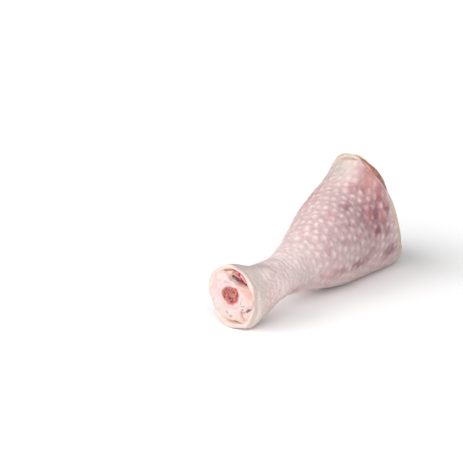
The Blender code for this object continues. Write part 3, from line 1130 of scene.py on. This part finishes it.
    def _caps(self, face: Array, walk: Array, angle: Array) -> Array:
        """The follicle bumps over the face.

        Args:
            face: Points of the face.
            walk: Distance along the skin from the hock.
            angle: Angle round the section.

        Returns:
            0 between bumps, 1 on top of one.
        """
        step = np.roll(face, -1, axis=1) - face
        lengths = np.linalg.norm(step, axis=-1) / MM
        pace = (lengths + np.roll(lengths, 1, axis=1)) / 2 / (TURN / self.around)
        rows = slice(None, None, 25)
        girth = SmoothCurve(list(zip(walk.mean(axis=1)[rows], lengths.sum(axis=1)[rows])))
        return self.follicles.caps(walk, angle, pace, girth)

    def _relief(self, face: Array, walk: Array, s: Array, angle: Array, caps: Array) -> Array:
        """Height of the skin's surface over the plain form, in millimetres.

        Args:
            face: Points of the face.
            walk: Distance along the skin from the hock.
            s: Share of the leg's length.
            angle: Angle round the section.
            caps: How high each point lies on the bumps.

        Returns:
            Heights in millimetres.
        """
        grown = ease(walk, self.neck_end, self.body_start)
        bumps = caps * (self.neck_bump_height + (self.bump_height - self.neck_bump_height) * grown)
        phase = TURN * walk / self.wrinkle_pitch + 5.0 * angle + 1.8 * lumps(face, 8.0, 3)
        ridges = self.wrinkle_height * np.sin(phase) * (0.5 + 0.5 * lumps(face, 7.0, 4))
        ridges = ridges * (1 - grown) * ease(walk, 6.0, 16.0)
        soft = sum(height * lumps(face, size, seed) for height, size, seed in self.unevenness)
        return bumps + ridges + soft + self._roll(s, angle) + self._gathers(face, s, angle)

    @staticmethod
    def _notch(angle: Array) -> Array:
        """Where round the edge the skin has shrunk back and lies thin."""
        return hump(angle, 121, 20)

    def _rolled(self, angle: Array) -> Array:
        """Where round the edge the skin is rolled: 1 in the roll, 0 beside it."""
        return stretch(angle, self.roll_at, self.roll_half, self.roll_soft)

    def _roll(self, s: Array, angle: Array) -> Array:
        """The thick roll of the skin's upper edge, with a crease before it.

        Args:
            s: Share of the leg's length.
            angle: Angle round the section.

        Returns:
            Heights in millimetres.
        """
        taper = ease(angle, *np.radians(self.roll_taper))
        width = self.roll_width * (1 - 0.55 * taper)
        into = (s - self.form.edge(angle) + width) / width
        bead = self.roll_height * np.sin(math.pi * np.clip(into, 0, 1)) ** 0.8
        crease = self.roll_crease * np.exp(-(((into + 0.05) / 0.15) ** 2))
        return (bead - crease) * self._rolled(angle)

    def _gathers(self, face: Array, s: Array, angle: Array) -> Array:
        """Small folds along the edge on the leg's outer side.

        Args:
            face: Points of the face.
            s: Share of the leg's length.
            angle: Angle round the section.

        Returns:
            Heights in millimetres.
        """
        back = (self.form.edge(angle) - s) / self.gather_pitch
        fold = np.sin(TURN * (back + 0.25 * lumps(face, 14.0, 8)))
        return self.gather_height * fold * ease(-back, -3.4, -1.6) * hump(angle, 178, 44)

    def _hock_shape(self, s: Array, angle: Array) -> Array:
        """The hock's own unevenness: fuller at its upper inner side, flatter under that.

        Args:
            s: Share of the leg's length.
            angle: Angle round the section.

        Returns:
            Heights in millimetres.
        """
        fuller = 1.4 * hump(angle, 28, 24)
        flatter = 0.9 * hump(angle, 338, 16)
        uneven = 0.22 * np.sin(5 * angle + 1.0) + 0.16 * np.sin(9 * angle + 2.0)
        return (fuller - flatter + uneven) * (1 - ease(s, 0.0, 0.08)) - self._bevel(s, angle)

    def _bevel(self, s: Array, angle: Array) -> Array:
        """How far the hock's rim is rounded off, in millimetres."""
        deep = 0.2 + 1.0 * stretch(angle, 165, 70, 35)
        return deep * (1 - ramp(s, 0.0, 0.036)) ** 2

    def _free(self, face: Array, share: Array) -> Array:
        """How freely the skin stands: 0 where it lies on the table or meets a lip."""
        lifted = ease(face[..., 2] / MM, 0.0, 1.5)
        return lifted * ease(share, 0.008, 0.03) * (1 - ease(share, 0.985, 1.0))

    def _lip(self, s: Array, angle: Array, tucks: Sequence[float], stand: Amount) -> Array:
        """The rounded edge of the skin, from its face to its lining.

        Args:
            s: Share of the leg's length.
            angle: Angle round the section.
            tucks: How deep each ring lies, as a share of the skin.
            stand: How far the edge stands out.

        Returns:
            Rings of points.
        """
        form = self.form
        depth = form.skin_depth(s, angle)
        grown = -self._hock_shape(s, angle)
        rings = []
        for tuck in tucks:
            height = stand * (1 - (2 * tuck - 1) ** 2) * (1 + 0.35 * np.sin(7 * angle + 1.0))
            rings.append(form.outer(s, angle, tuck * depth + grown * (1 - tuck), height))
        return np.concatenate(rings)

    def _marks(self, marks: Sequence[Blush], s: Array, angle: Array) -> Array:
        """Soft spots on the skin, the strongest winning.

        Args:
            marks: The spots.
            s: Share of the leg's length.
            angle: Angle round the section.

        Returns:
            How strong the colour is at each point.
        """
        total = np.zeros(np.broadcast(s, angle).shape)
        for mark in marks:
            spread = np.exp(-(((s - mark.s) / mark.long) ** 2)) * hump(angle, mark.angle, mark.wide)
            total = np.maximum(total, mark.strength * spread)
        return total

    def _layers(self, s: Array, angle: Array, caps: Array, lining_s: Array) -> dict[str, Array]:
        """The numbers that the finish reads, on both lips, the face and the lining.

        Args:
            s: Share of the leg's length.
            angle: Angle round the section.
            caps: How high each point lies on the bumps.
            lining_s: Share of the leg's length at each ring of the lining.

        Returns:
            One array for each layer.
        """
        tuck = np.array(self.tucks)[:, None]
        back = self.form.edge(angle) - s
        roll = (1 - ease(back, 0.85 * self.roll_width, 1.1 * self.roll_width)) * self._rolled(angle)
        band = 0.75 * stretch(angle, 188, 34, 10) * (1 - ease(back, 0.008, 0.04))
        under_hock = hump(angle, 205, 50) * (1 - ease(s, 0.06, 0.13))
        notch = self._notch(angle)
        # painted shade: brown on the hock lip's inner side below, in the crease where the lip meets the
        # pad
        crease_shade = 0.85 * ease(tuck[::-1], 0.45, 0.7) * stretch(angle, 262, 28, 10)
        # painted shade: brown on the knee lip's inner side, towards the lining, which lies in shade
        shaded_lip = 0.9 * tuck * hump(angle, 145, 40)
        torn = hump(angle, 104, 32) * (1 - ease(lining_s, 0.05, 0.1))
        # lit is painted light: the neck just behind the hock's rim is brightened where the rim shades
        # it from the lamps
        lit_end = 0.10 + 0.09 * hump(angle, 112, 28)
        lit = 0.9 * stretch(angle, 165, 80, 35) * ease(s, 0.0, 0.02)
        lit = lit * (1 - ease(s, lit_end - 0.07, lit_end))
        shank = ease(s, 0.02, 0.26) * (1 - ease(s, 0.26, 0.46)) * (1 - 0.8 * hump(angle, 212, 22))
        layers = {
            "bump": (0, caps, 0, 0),
            "blush": (0, self._marks(self.pinks, s, angle), 0, 0),
            "rose": (0, self._marks(self.roses, s, angle), 0.7 * notch, 0),
            "shank": (0, shank, 0, 0),
            "ash": (0, self._marks(self.ashes, s, angle), 0, 0),
            "peach": (0, 0.5 * under_hock, 0, 0),
            "cream": (0, np.clip(roll + band, 0, 1), 0.8 * (1 - notch), 0.6),
            "rim": (0.9, 0.9 * (1 - ease(s, 0.004, 0.03)), 0, 0),
            "painted_light": (0, lit, 0, 0),
            "brown": (crease_shade, self._marks(self.browns, s, angle), shaded_lip, 0),
            "raw": (0, 0, 0, torn),
        }
        lip = (len(self.tucks), self.around)
        return stacked(layers, (lip, s.shape, lip, lining_s.shape))


@dataclass
class Meat:
    """The muscle, which swells out of the skin at the knee in lobes of fibre.

    The lump of fat's place and reach, round the dome and up it, are angles in degrees.
    """

    form: LegForm
    finish: Tissue = MEAT
    around: int = 240
    sleeve_rows: int = 18
    dome_rows: int = 80
    hole_rows: int = 16
    sleeve_gap: float = 0.3
    lobes: int = 5
    lobe_height: float = 0.6
    start: float = 0.107
    fat_dent: float = 3.2
    fat_at: float = 72.0
    fat_reach: float = 30.0
    fat_rise: float = 47.0
    fat_rise_reach: float = 32.0

    def build(self) -> bpy.types.Object:
        """Builds the meat and hangs it on the leg.

        Returns:
            The piece.
        """
        form = self.form
        angle = turn(self.around)
        sleeve_s = form.fanned(np.linspace(self.start, 1.0, self.sleeve_rows)[:, None], angle)
        sleeve = form.outer(sleeve_s, angle, form.skin_depth(sleeve_s, angle) + self.sleeve_gap)
        tilt = np.radians(np.linspace(3, 90, self.dome_rows))[:, None]
        lobe = self.lobe_height * np.cos(self.lobes * angle) * np.sin(2 * tilt)
        dome = form.dome(angle, tilt, lobe - self.dent(angle, tilt))
        fibre = self._fibre(angle, tilt, dome)
        normal = facing(dome)
        crest = np.sin(tilt) * (0.35 * fibre - 0.15 + 0.5 * lumps(dome, 9.0, 21))
        dome = dome + normal * (crest * MM)[..., None]
        hole_s = np.linspace(form.bone_end, self.start, self.hole_rows)[:, None]
        hole = form.about_bone(hole_s, angle, form.bone_radius(hole_s) + form.bone_gap)
        parts = (sleeve, dome, hole)
        layers = {"fibre": (0, fibre, 0), "fat": (0.5, self._fat(angle, tilt, dome), 0)}
        painted = stacked(layers, [part.shape[:-1] for part in parts])
        piece = RingMesh(np.concatenate(parts), painted).make("meat_fibres")
        self.finish.dress(piece)
        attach(piece, "root")
        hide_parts("meat")
        return piece

    def dent(self, angle: Array, tilt: Array) -> Array:
        """Depth of the hollow in which the lump of fat lies, in millimetres.

        Args:
            angle: Angle round the section.
            tilt: Tilt on the dome.

        Returns:
            Depths in millimetres.
        """
        aside = away(angle, self.fat_at) / math.radians(self.fat_reach)
        above = (np.degrees(tilt) - self.fat_rise) / self.fat_rise_reach
        cover = 1 - aside**2 - above**2
        return self.fat_dent * np.maximum(0.0, cover)

    def _fibre(self, angle: Array, tilt: Array, dome: Array) -> Array:
        """Pale sheaths between bundles of fibre, which run towards the joint.

        Args:
            angle: Angle round the section.
            tilt: Tilt on the dome.
            dome: Points of the dome.

        Returns:
            From 0 in a bundle to 1 in a sheath.
        """
        swirl = angle * 13 + 1.5 * np.sin(3 * tilt) + 1.3 * lumps(dome, 12.0, 22)
        fine = angle * 47 + 2.0 * lumps(dome, 6.0, 23)
        return np.clip(0.6 * np.abs(np.sin(swirl)) ** 3 + 0.4 * np.abs(np.sin(fine)) ** 2, 0, 1)

    def _fat(self, angle: Array, tilt: Array, dome: Array) -> Array:
        """Where fat covers the meat: a belt by the skin, missing where the meat shows red."""
        belt = 1 - ease(tilt + 0.18 * lumps(dome, 8.0, 24), 0.35, 0.75)
        return np.clip(belt * (1 - stretch(angle, 128, 27, 8)) * 0.95, 0, 1)


@dataclass
class FatLobe:
    """The lump of fat lying in its dent at the top of the meat's end."""

    form: LegForm
    meat: Meat
    finish: Tissue = FAT
    around: int = 96
    rows: int = 26
    bulge: float = 1.3
    edge: float = 0.25
    clear: float = 0.12

    def build(self) -> bpy.types.Object:
        """Builds the fat and hangs it on the leg.

        Returns:
            The piece.
        """
        meat = self.meat
        around = turn(self.around)
        reach = np.linspace(0.02, 0.97, self.rows)[:, None]
        angle = np.radians(meat.fat_at + reach * meat.fat_reach * np.cos(around))
        tilt = np.radians(meat.fat_rise + reach * meat.fat_rise_reach * np.sin(around))
        floor = self.form.dome(angle, tilt, self.clear - meat.fat_dent * (1 - reach**2))
        top = self.form.dome(angle, tilt, self.clear + self.edge + self.bulge * (1 - reach**2))
        bumps = 0.55 * lumps(top, 5.0, 31) * (1 - reach**4)
        top = top + facing(top) * (bumps * MM)[..., None]
        piece = RingMesh(np.concatenate([floor, top[::-1]]), {}, looped=False).make("fat_soft")
        self.finish.dress(piece)
        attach(piece, "root")
        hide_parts("fat_lobe")
        return piece


@dataclass
class HockPad:
    """The white gristle round the bone's cut end, with its ridge, pits, crease and folds.

    Places on the cut face are sideways and upward from the middle of the hock's section, and a
    pit is a reach and a place. The slit's at, half and soft are angles in degrees.
    """

    form: LegForm
    finish: Tissue = GRISTLE
    around: int = 280
    face_rows: int = 84
    wall_rows: int = 16
    wall_start: float = 0.012
    bone_lap: float = 0.3
    hole_at: tuple[float, ...] = (0.10, 0.05)
    depth: float = 0.10
    dome: float = 1.6
    proud: float = 0.35
    slit_at: float = 105.0
    slit_half: float = 33.0
    slit_soft: float = 20.0
    slit_width: float = 4.9
    slit_depth: float = 0.055
    ridge: Path = ((7.6, 8.4), (4.6, 9.2), (0.6, 8.2), (-3.4, 7.4), (-8.6, 6.2))
    fold: Path = ((-5.9, -5.8), (-6.0, -7.6), (-6.8, -9.6))
    crease: Path = ((5.0, -12.0), (0.9, -11.6), (-2.1, -11.5), (-4.2, -12.2))
    cut: Path = ((-8.6, -5.1), (-9.9, -4.0))
    pits: tuple[tuple[float, Place], ...] = (
        (0.7, (2.5, -7.5)), (0.65, (0.2, -9.0)), (0.3, (-5.6, -1.6)), (0.3, (-6.2, -2.8)),
        (0.3, (-7.4, -2.6)), (0.45, (-6.6, -4.4)), (0.45, (-7.2, -5.8)), (0.35, (-10.8, -3.8)),
    )
    relief: tuple[Stroke, ...] = (
        Stroke(0.6, 1.2, ridge),
        Stroke(0.5, 3.2, ((1.0, -8.0),)),
        Stroke(0.7, 2.4, ((-9.2, -8.0),)),
        Stroke(-0.8, 0.6, fold),
        Stroke(-0.9, 0.55, cut),
        Stroke(-1.3, 0.5, crease),
        Stroke(-0.8, 0.8, crease[2:]),
    )
    peach: tuple[Stroke, ...] = (
        Stroke(0.9, 2.0, ((-5.5, 7.0), (-8.6, 5.2), (-11.0, 2.5))),
        Stroke(0.3, 3.5, ((-9.5, 2.0),)),
        Stroke(0.8, 1.0, fold),
        Stroke(0.6, 1.0, ((6.6, 11.4), (3.4, 11.6), (1.4, 11.0))),
        Stroke(0.7, 1.0, crease),
    )
    # brown strokes: painted shade in the crease and the fold, and a faint brown line near the rim
    brown: tuple[Stroke, ...] = (
        Stroke(1.2, 0.7, crease[2:]),
        Stroke(0.9, 0.45, crease[:3]),
        Stroke(0.5, 0.45, fold),
        Stroke(0.3, 0.8, ((-12.4, 5.6), (-13.2, 2.0))),
    )

    def build(self) -> bpy.types.Object:
        """Builds the pad and hangs it on the leg.

        Returns:
            The piece.
        """
        form = self.form
        angle = turn(self.around)
        share = np.linspace(0.0, 1.0, self.face_rows)[:, None] ** 0.9
        face = self._face(share, angle)
        side, up = self.local(face)
        swell = self._relief(side, up) * np.minimum(1.0, 8 * share)
        swell += 0.3 * lumps(face, 6.5, 41) * ease(share, 0.0, 0.1) + 0.1 * lumps(face, 2.2, 42)
        face[..., 0] -= swell * MM
        wall_s = np.linspace(self.wall_start, self.depth, self.wall_rows)[:, None]
        wall = form.outer(wall_s, angle, self.side(wall_s, angle))
        hole_s = np.array(self.hole_at)[:, None]
        hole = form.about_bone(hole_s, angle, form.bone_radius(hole_s) - self.bone_lap)
        rings = np.concatenate([hole, face, wall])
        piece = RingMesh(rings, self._layers(side, up, angle, share, wall_s)).make("hock_gristle")
        self.finish.dress(piece)
        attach(piece, "root")
        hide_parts("hock_pad")
        return piece

    def side(self, s: Amount, angle: Array) -> Array:
        """Depth of the pad's outer side, which laps on the skin's lip and draws in at the tear.

        Args:
            s: Share of the leg's length.
            angle: Angle round the section.

        Returns:
            Depths in millimetres.
        """
        depth = self.form.skin_depth(s, angle)
        torn = self.torn(angle)
        lap = (1 - torn) * (1 - ease(s, 0.0, 0.02))
        merged = 0.36 + 0.3 * stretch(angle, 5, 50, 20) + 0.24 * hump(angle, 262, 32)
        slit = self.slit_width * torn * (1 - ramp(s, 0.0, self.slit_depth))
        return depth * (1 - merged * lap) + 0.06 + slit

    def torn(self, angle: Array) -> Array:
        """Where round the pad it is torn from the skin: 1 in the tear, 0 beside it."""
        return stretch(angle, self.slit_at, self.slit_half, self.slit_soft)

    def _face(self, share: Array, angle: Array) -> Array:
        """The domed cut face, rolled down at its edges.

        Args:
            share: From 0 at the bone's edge to 1 at the skin.
            angle: Angle round the section.

        Returns:
            Points in metres.
        """
        form = self.form
        steep = 0.5 + 0.9 * self.torn(angle)
        rolled = steep * ramp(share, 0.72, 1.0) ** 2 + 0.3 * (1 - ease(share, 0.0, 0.05))
        sunk = rolled - self.dome * (1 - share**2) - self.proud
        inside = form.about_bone(0.0, angle, form.bone_radius(0.0) - self.bone_lap, sunk)
        rim = form.outer(0.0, angle, self.side(0.0, angle), sunk)
        return inside + (rim - inside) * share[..., None]

    def local(self, face: Array) -> tuple[Array, Array]:
        """Sideways and upward places on the cut face, in millimetres."""
        place = (face - self.form.shift) / MM
        return place[..., 1] - self.form.side(0.0), place[..., 2] - self.form.rise(0.0)

    def _relief(self, side: Array, up: Array) -> Array:
        """Height of the face's ridges and pits, in millimetres."""
        return added(side, up, self.relief) + added(side, up, self._pitted(-0.8))

    def _pitted(self, strength: float, wider: float = 1.0) -> list[Stroke]:
        """The pits as spots."""
        return [Stroke(strength, wider * reach, (place,)) for reach, place in self.pits]

    def _layers(
        self, side: Array, up: Array, angle: Array, share: Array, wall_s: Array
    ) -> dict[str, Array]:
        """The numbers that the finish reads: in the bone's hole, on the face and down the wall.

        Args:
            side: Sideways places of the face's points.
            up: Upward places of the face's points.
            angle: Angle round the section.
            share: From 0 at the bone's edge to 1 at the skin.
            wall_s: Share of the leg's length at each ring of the wall.

        Returns:
            One array for each layer.
        """
        torn = self.torn(angle)
        near_bone = 1 - ease(share, 0.0, 0.2) + 0 * side
        # painted shade, near black: along the cut, in the pits, at the slit's edge and down the slit's
        # wall
        slit_shade = 0.78 * stretch(angle, 103, 17, 8)
        dark = 0.85 * seam(side, up, self.cut, 0.5) + slit_shade * ease(share, 0.96, 1.0)
        dark += added(side, up, self._pitted(0.45, 1.1))
        fat = (1 - ease(up, -11.0, -5.0)) + 0.6 * ease(share, 0.75, 1.0) * (1 - torn)
        red = 0.2 * near_bone**2 + 0.75 * torn * ease(share, 0.955, 1.0) * ease(-side, -1.5, 2.0)
        slit_wall_shade = np.maximum(torn * ease(wall_s, 0.015, 0.05), slit_shade)
        layers = {
            "fat": (0, np.clip(fat, 0, 1), 0.6),
            "peach": (0, np.clip(added(side, up, self.peach) + 0.12 * near_bone, 0, 1), 0),
            "red": (0.6, np.clip(red, 0, 1), np.clip(1.1 * torn, 0, 1)),
            "brown": (0, np.clip(added(side, up, self.brown), 0, 1), 0),
            "dark": (0, np.clip(dark, 0, 1), slit_wall_shade),
        }
        rows = (len(self.hole_at), self.face_rows, self.wall_rows)
        return stacked(layers, [(count, self.around) for count in rows])


@dataclass
class TornFlesh:
    """The flesh inside the tear between the hock pad and the skin."""

    form: LegForm
    pad: HockPad
    finish: Tissue = TEAR
    first: float = math.radians(58)
    last: float = math.radians(146)
    sunk: float = 0.15
    belly: float = 0.35
    thick: float = 1.8
    along: int = 120
    across: int = 26
    rent: Path = ((-3.2, 11.2), (-4.5, 9.5), (-5.7, 8.4), (-7.0, 7.3))
    # clefts are sunk a little and painted near black as shade
    clefts: tuple[Stroke, ...] = (
        Stroke(1.0, 0.8, ((0.7, 9.9), (-1.4, 9.5), (-3.1, 9.0), (-4.6, 8.2))),
        Stroke(0.5, 0.6, rent),
        Stroke(1.0, 0.6, rent[2:]),
    )
    # streaks are shallow grooves, painted with brown shade
    streaks: tuple[Stroke, ...] = (
        Stroke(1.0, 0.45, ((1.0, 12.9), (-0.6, 12.7), (-1.9, 12.2))),
        Stroke(1.0, 0.45, ((0.5, 11.7), (-1.6, 11.7), (-3.5, 11.3))),
    )
    strands: tuple[Stroke, ...] = (
        Stroke(1.0, 0.55, ((-0.3, 11.2), (-2.0, 10.7), (-3.9, 9.9))),
        Stroke(1.0, 0.55, ((-1.0, 12.2), (-2.6, 12.1))),
        Stroke(1.0, 0.55, ((-4.6, 11.4), (-6.0, 10.2), (-7.4, 8.8))),
    )
    # painted shade, brown, along the tear's upper edge
    brown_shade: Stroke = Stroke(1.0, 0.5, ((5.6, 11.9), (3.4, 12.6), (1.8, 12.8)))

    def build(self) -> bpy.types.Object:
        """Builds the flesh and hangs it on the leg.

        Returns:
            The piece.
        """
        form = self.form
        angle = np.linspace(self.first, self.last, self.along)[:, None]
        step = np.linspace(0, 1, self.across)
        across = np.concatenate([step, step[::-1][1:-1]])[None]
        top = np.arange(across.size)[None] < self.across
        wide = 0.4 + self.pad.slit_width * self.pad.torn(angle)
        inset = form.skin_depth(0.0, angle) - 0.4 + (wide + 0.8) * (1 - across)
        sunk = self.sunk + self.belly * np.sin(math.pi * across) + np.where(top, 0.0, self.thick)
        points = form.outer(0.0, angle + 0 * across, inset, sunk)
        side, up = self.pad.local(points)
        strand = strongest(side, up, self.strands)
        streak = strongest(side, up, self.streaks)
        dark = strongest(side, up, self.clefts)
        lift = 0.8 * strand - 0.7 * dark - 0.4 * streak + 0.3 * lumps(points, 1.8, 52)
        points[..., 0] -= np.where(top, lift, 0.0) * MM
        layers = {
            "strand": np.clip(strand + 0.15 * lumps(points, 1.6, 53), 0, 1),
            "tan": ease(side - 0.25 * up, -3.6, -1.4) * 0.95,
            "brown_shade": np.clip(self.brown_shade.on(side, up) + 0.6 * streak, 0, 1),
            "dark": np.clip(dark, 0, 1),
        }
        piece = RingMesh(points, layers, looped=False).make("torn_flesh")
        self.finish.dress(piece)
        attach(piece, "root")
        return piece


@dataclass
class Marrow:
    """The red spongy core of the bone."""

    form: LegForm
    finish: MarrowFinish = MarrowFinish()
    around: int = 120
    rows: int = 44
    stations: Path = ((0.0, 4.9), (0.12, 3.6), (0.3, 2.6), (0.6, 2.2))
    depth: float = 0.6
    flush: float = -1.8

    def build(self) -> bpy.types.Object:
        """Builds the marrow and hangs it on the leg.

        Returns:
            The piece.
        """
        form = self.form
        radius = SmoothCurve(self.stations)
        angle = turn(self.around)
        share = np.linspace(0.02, 1.0, self.rows)[:, None]
        face = form.about_bone(0.0, angle, self.outline(angle) * share, self.flush)
        sponge = self._sponge(face)
        lift = (0.75 * (sponge - 0.55)) * (1 - ease(share, 0.88, 1.0)) + 0.15 * (1 - share**2)
        face[..., 0] -= lift * MM
        core_s = np.array((0.02, 0.05, 0.12, 0.2, 0.3, 0.45, self.depth))[:, None]
        core = form.about_bone(core_s, angle, radius(core_s) + 0.15)
        edge = ease(share + 0.14 * lumps(face, 2.2, 62), 0.82, 1.02)
        layers = {"sponge": (sponge, 0.5), "edge": (0.85 * edge, 0)}
        painted = stacked(layers, [part.shape[:-1] for part in (face, core)])
        piece = RingMesh(np.concatenate([face, core]), painted, looped=False).make("marrow_sponge")
        self.finish.dress(piece)
        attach(piece, "root")
        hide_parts("marrow")
        return piece

    @staticmethod
    def outline(angle: Array) -> Array:
        """The core's uneven radius at the cut."""
        wide = 4.55 + 0.35 * np.cos(2 * angle + 0.5) + 0.3 * np.sin(3 * angle + 0.6)
        return wide + 0.14 * np.sin(5 * angle + 2.0) + 0.10 * np.sin(9 * angle)

    def _sponge(self, face: Array) -> Array:
        """The sponge's struts at 1 and its pores at 0.

        Args:
            face: Points of the face.

        Returns:
            Values from 0 to 1.
        """
        coarse = lumps(face, 2.0, 61)
        fine = lumps(face, 1.0, 63)
        return np.clip(0.55 + 0.3 * coarse + 0.26 * fine, 0, 1)


@dataclass
class ShinBone:
    """The bone, hollow from the hock, whose ring shows round the marrow."""

    form: LegForm
    finish: Tissue = GRISTLE
    around: int = 120
    dome: float = 1.6

    def build(self) -> bpy.types.Object:
        """Builds the bone and hangs it on the leg.

        Returns:
            The piece.
        """
        form = self.form
        angle = turn(self.around)
        marrow = SmoothCurve(Marrow.stations)
        hollow_s = np.array((0.61, 0.45, 0.3, 0.2, 0.12, 0.05, 0.01))[:, None]
        hollow = form.about_bone(hollow_s, angle, marrow(hollow_s) + 0.25)
        share = np.linspace(0, 1, 9)[:, None]
        inner, outer = Marrow.outline(angle) - 0.15, float(form.bone_radius(0.0))
        rim = form.about_bone(0.0, angle, inner + (outer - inner) * share, -self.dome - 0.4)
        rim[..., 0] -= 0.2 * lumps(rim, 4.0, 71) * MM
        shaft_s = np.array((0.01, 0.05, 0.10, 0.15, 0.2, 0.3, 0.45, 0.62, 0.74, 0.85, 0.93, 0.978))
        shaft = form.about_bone(shaft_s[:, None], angle, form.bone_radius(shaft_s)[:, None])
        head_radius = float(form.bone_radius(form.bone_end)) * np.array((0.97, 0.9, 0.5, 0.05))
        head = form.about_bone(form.bone_end, angle, head_radius[:, None])
        parts = (hollow, rim, shaft, head)
        flush = np.clip(0.7 * (1 - ease(share, 0.0, 0.55)) + 0.1 * lumps(rim, 3.0, 72), 0, 1)
        layers = dict.fromkeys(("fat", "peach", "brown", "dark"), (0, 0, 0, 0))
        layers["red"] = (0.6, flush, 0, 0)
        painted = stacked(layers, [part.shape[:-1] for part in parts])
        piece = RingMesh(np.concatenate(parts), painted, looped=False).make("shin_bone_end")
        self.finish.dress(piece)
        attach(piece, "root")
        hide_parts("shin_bone")
        return piece


@dataclass
class KneeCartilage:
    """The cartilage over the bone's knee end: two rounded knuckles with a groove between."""

    form: LegForm
    finish: Tissue = CARTILAGE
    around: int = 120
    rows: int = 44
    radius: float = 8.3
    height: float = 9.5
    oval: float = 0.12
    groove: float = 0.3
    groove_width: float = 0.35
    axis: float = math.radians(20)
    foot: float = 1.6

    def build(self) -> bpy.types.Object:
        """Builds the cartilage and hangs it on the leg.

        Returns:
            The piece.
        """
        angle = turn(self.around)
        rise = np.radians(np.linspace(0, 89, self.rows))[:, None]
        foot = self.foot / self.height
        reach = np.concatenate([np.full((1, 1), 0.93), np.cos(rise)])
        high = np.concatenate([np.zeros((1, 1)), foot + (1 - foot) * np.sin(rise)])
        across = np.cos(angle - self.axis)
        radius = reach * self.radius * (1 + self.oval * (2 * across**2 - 1))
        dip = self.groove * np.exp(-((reach * across / self.groove_width) ** 2))
        out = self.form.bone_gap + high * self.height * (1 - dip)
        rings = self.form.about_bone(self.form.bone_end, angle, radius, out)
        rings = rings + facing(rings) * (0.18 * lumps(rings, 5.0, 81) * MM)[..., None]
        piece = RingMesh(rings, {}, looped=False).make("knee_knuckles")
        self.finish.dress(piece)
        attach(piece, "root")
        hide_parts("knee_cartilage")
        return piece


@dataclass(frozen=True)
class Lamp:
    """One wide, distant lamp: where it stands, how wide it looks and how strong it is."""

    name: str
    azimuth: float
    height: float
    spread: float
    strength: float


@dataclass
class Studio:
    """A white sweep, an even white sky, two large soft lamps and the camera."""

    form: LegForm
    floor_size: float = 60.0
    sky: float = 0.24
    lamps: tuple[Lamp, ...] = (
        Lamp("key", -121.0, 31.0, 58.0, 2.65),
        Lamp("front", -60.0, 29.0, 54.0, 2.7),
    )
    view_azimuth: float = math.radians(-55)
    view_height: float = math.radians(17)
    view_distance: float = 0.9
    view_angle: float = math.radians(16.29)
    look_at: tuple[float, float] = (127.49, 91.75)

    def build(self) -> None:
        """Builds the floor, the light and the camera."""
        self._floor()
        self._sky()
        for lamp in self.lamps:
            self._hang(lamp)
        self._camera()
        bpy.context.scene.view_settings.view_transform = "Standard"

    def _toward(self, azimuth: float, height: float) -> Vector:
        """The direction to a place at an azimuth and a height above the horizon."""
        flat = math.cos(height)
        return Vector((math.sin(azimuth) * flat, -math.cos(azimuth) * flat, math.sin(height)))

    def _floor(self) -> None:
        """Lays the white floor."""
        half = self.floor_size / 2
        corners = [(-half, -half, 0), (half, -half, 0), (half, half, 0), (-half, half, 0)]
        mesh = bpy.data.meshes.new("floor")
        mesh.from_pydata(corners, [], [(0, 1, 2, 3)])
        floor = placed("floor", mesh)
        FloorFinish().dress(floor)

    def _sky(self) -> None:
        """Sets the even white surroundings."""
        world = bpy.data.worlds.new("sky")
        world.use_nodes = True
        back = world.node_tree.nodes["Background"]
        back.inputs["Color"].default_value = (1.0, 1.0, 1.0, 1.0)
        back.inputs["Strength"].default_value = self.sky
        bpy.context.scene.world = world

    def _hang(self, lamp: Lamp) -> None:
        """Hangs one lamp.

        Args:
            lamp: The lamp.
        """
        data = bpy.data.lights.new(lamp.name, "SUN")
        data.energy = lamp.strength
        data.angle = math.radians(lamp.spread)
        light = placed(lamp.name, data)
        way = self._toward(math.radians(lamp.azimuth), math.radians(lamp.height))
        light.rotation_euler = way.to_track_quat("Z", "Y").to_euler()

    def _camera(self) -> None:
        """Sets the camera up."""
        data = bpy.data.cameras.new("camera")
        data.sensor_width = 36.0
        data.lens = data.sensor_width / 2 / math.tan(self.view_angle / 2)
        camera = placed("camera", data)
        back = self._toward(self.view_azimuth, self.view_height)
        target = Vector((self.look_at[0] * MM, self.look_at[1] * MM, 0.0)) + Vector(self.form.shift)
        camera.location = target + back * self.view_distance
        camera.rotation_euler = back.to_track_quat("Z", "Y").to_euler()
        bpy.context.scene.camera = camera


def main() -> None:
    """Builds the leg and its studio."""
    logging.basicConfig(level=logging.INFO, format="%(name)s: %(message)s")
    form = LegForm()
    meat = Meat(form)
    pad = HockPad(form)
    lobe, torn = FatLobe(form, meat), TornFlesh(form, pad)
    marrow, bone, knee = Marrow(form), ShinBone(form), KneeCartilage(form)
    for builder in (Skin(form), meat, lobe, pad, torn, marrow, bone, knee):
        piece = builder.build()
        log.info("%s: %d faces", piece.name, len(piece.data.polygons))
    Studio(form).build()


if __name__ == "__main__":
    main()
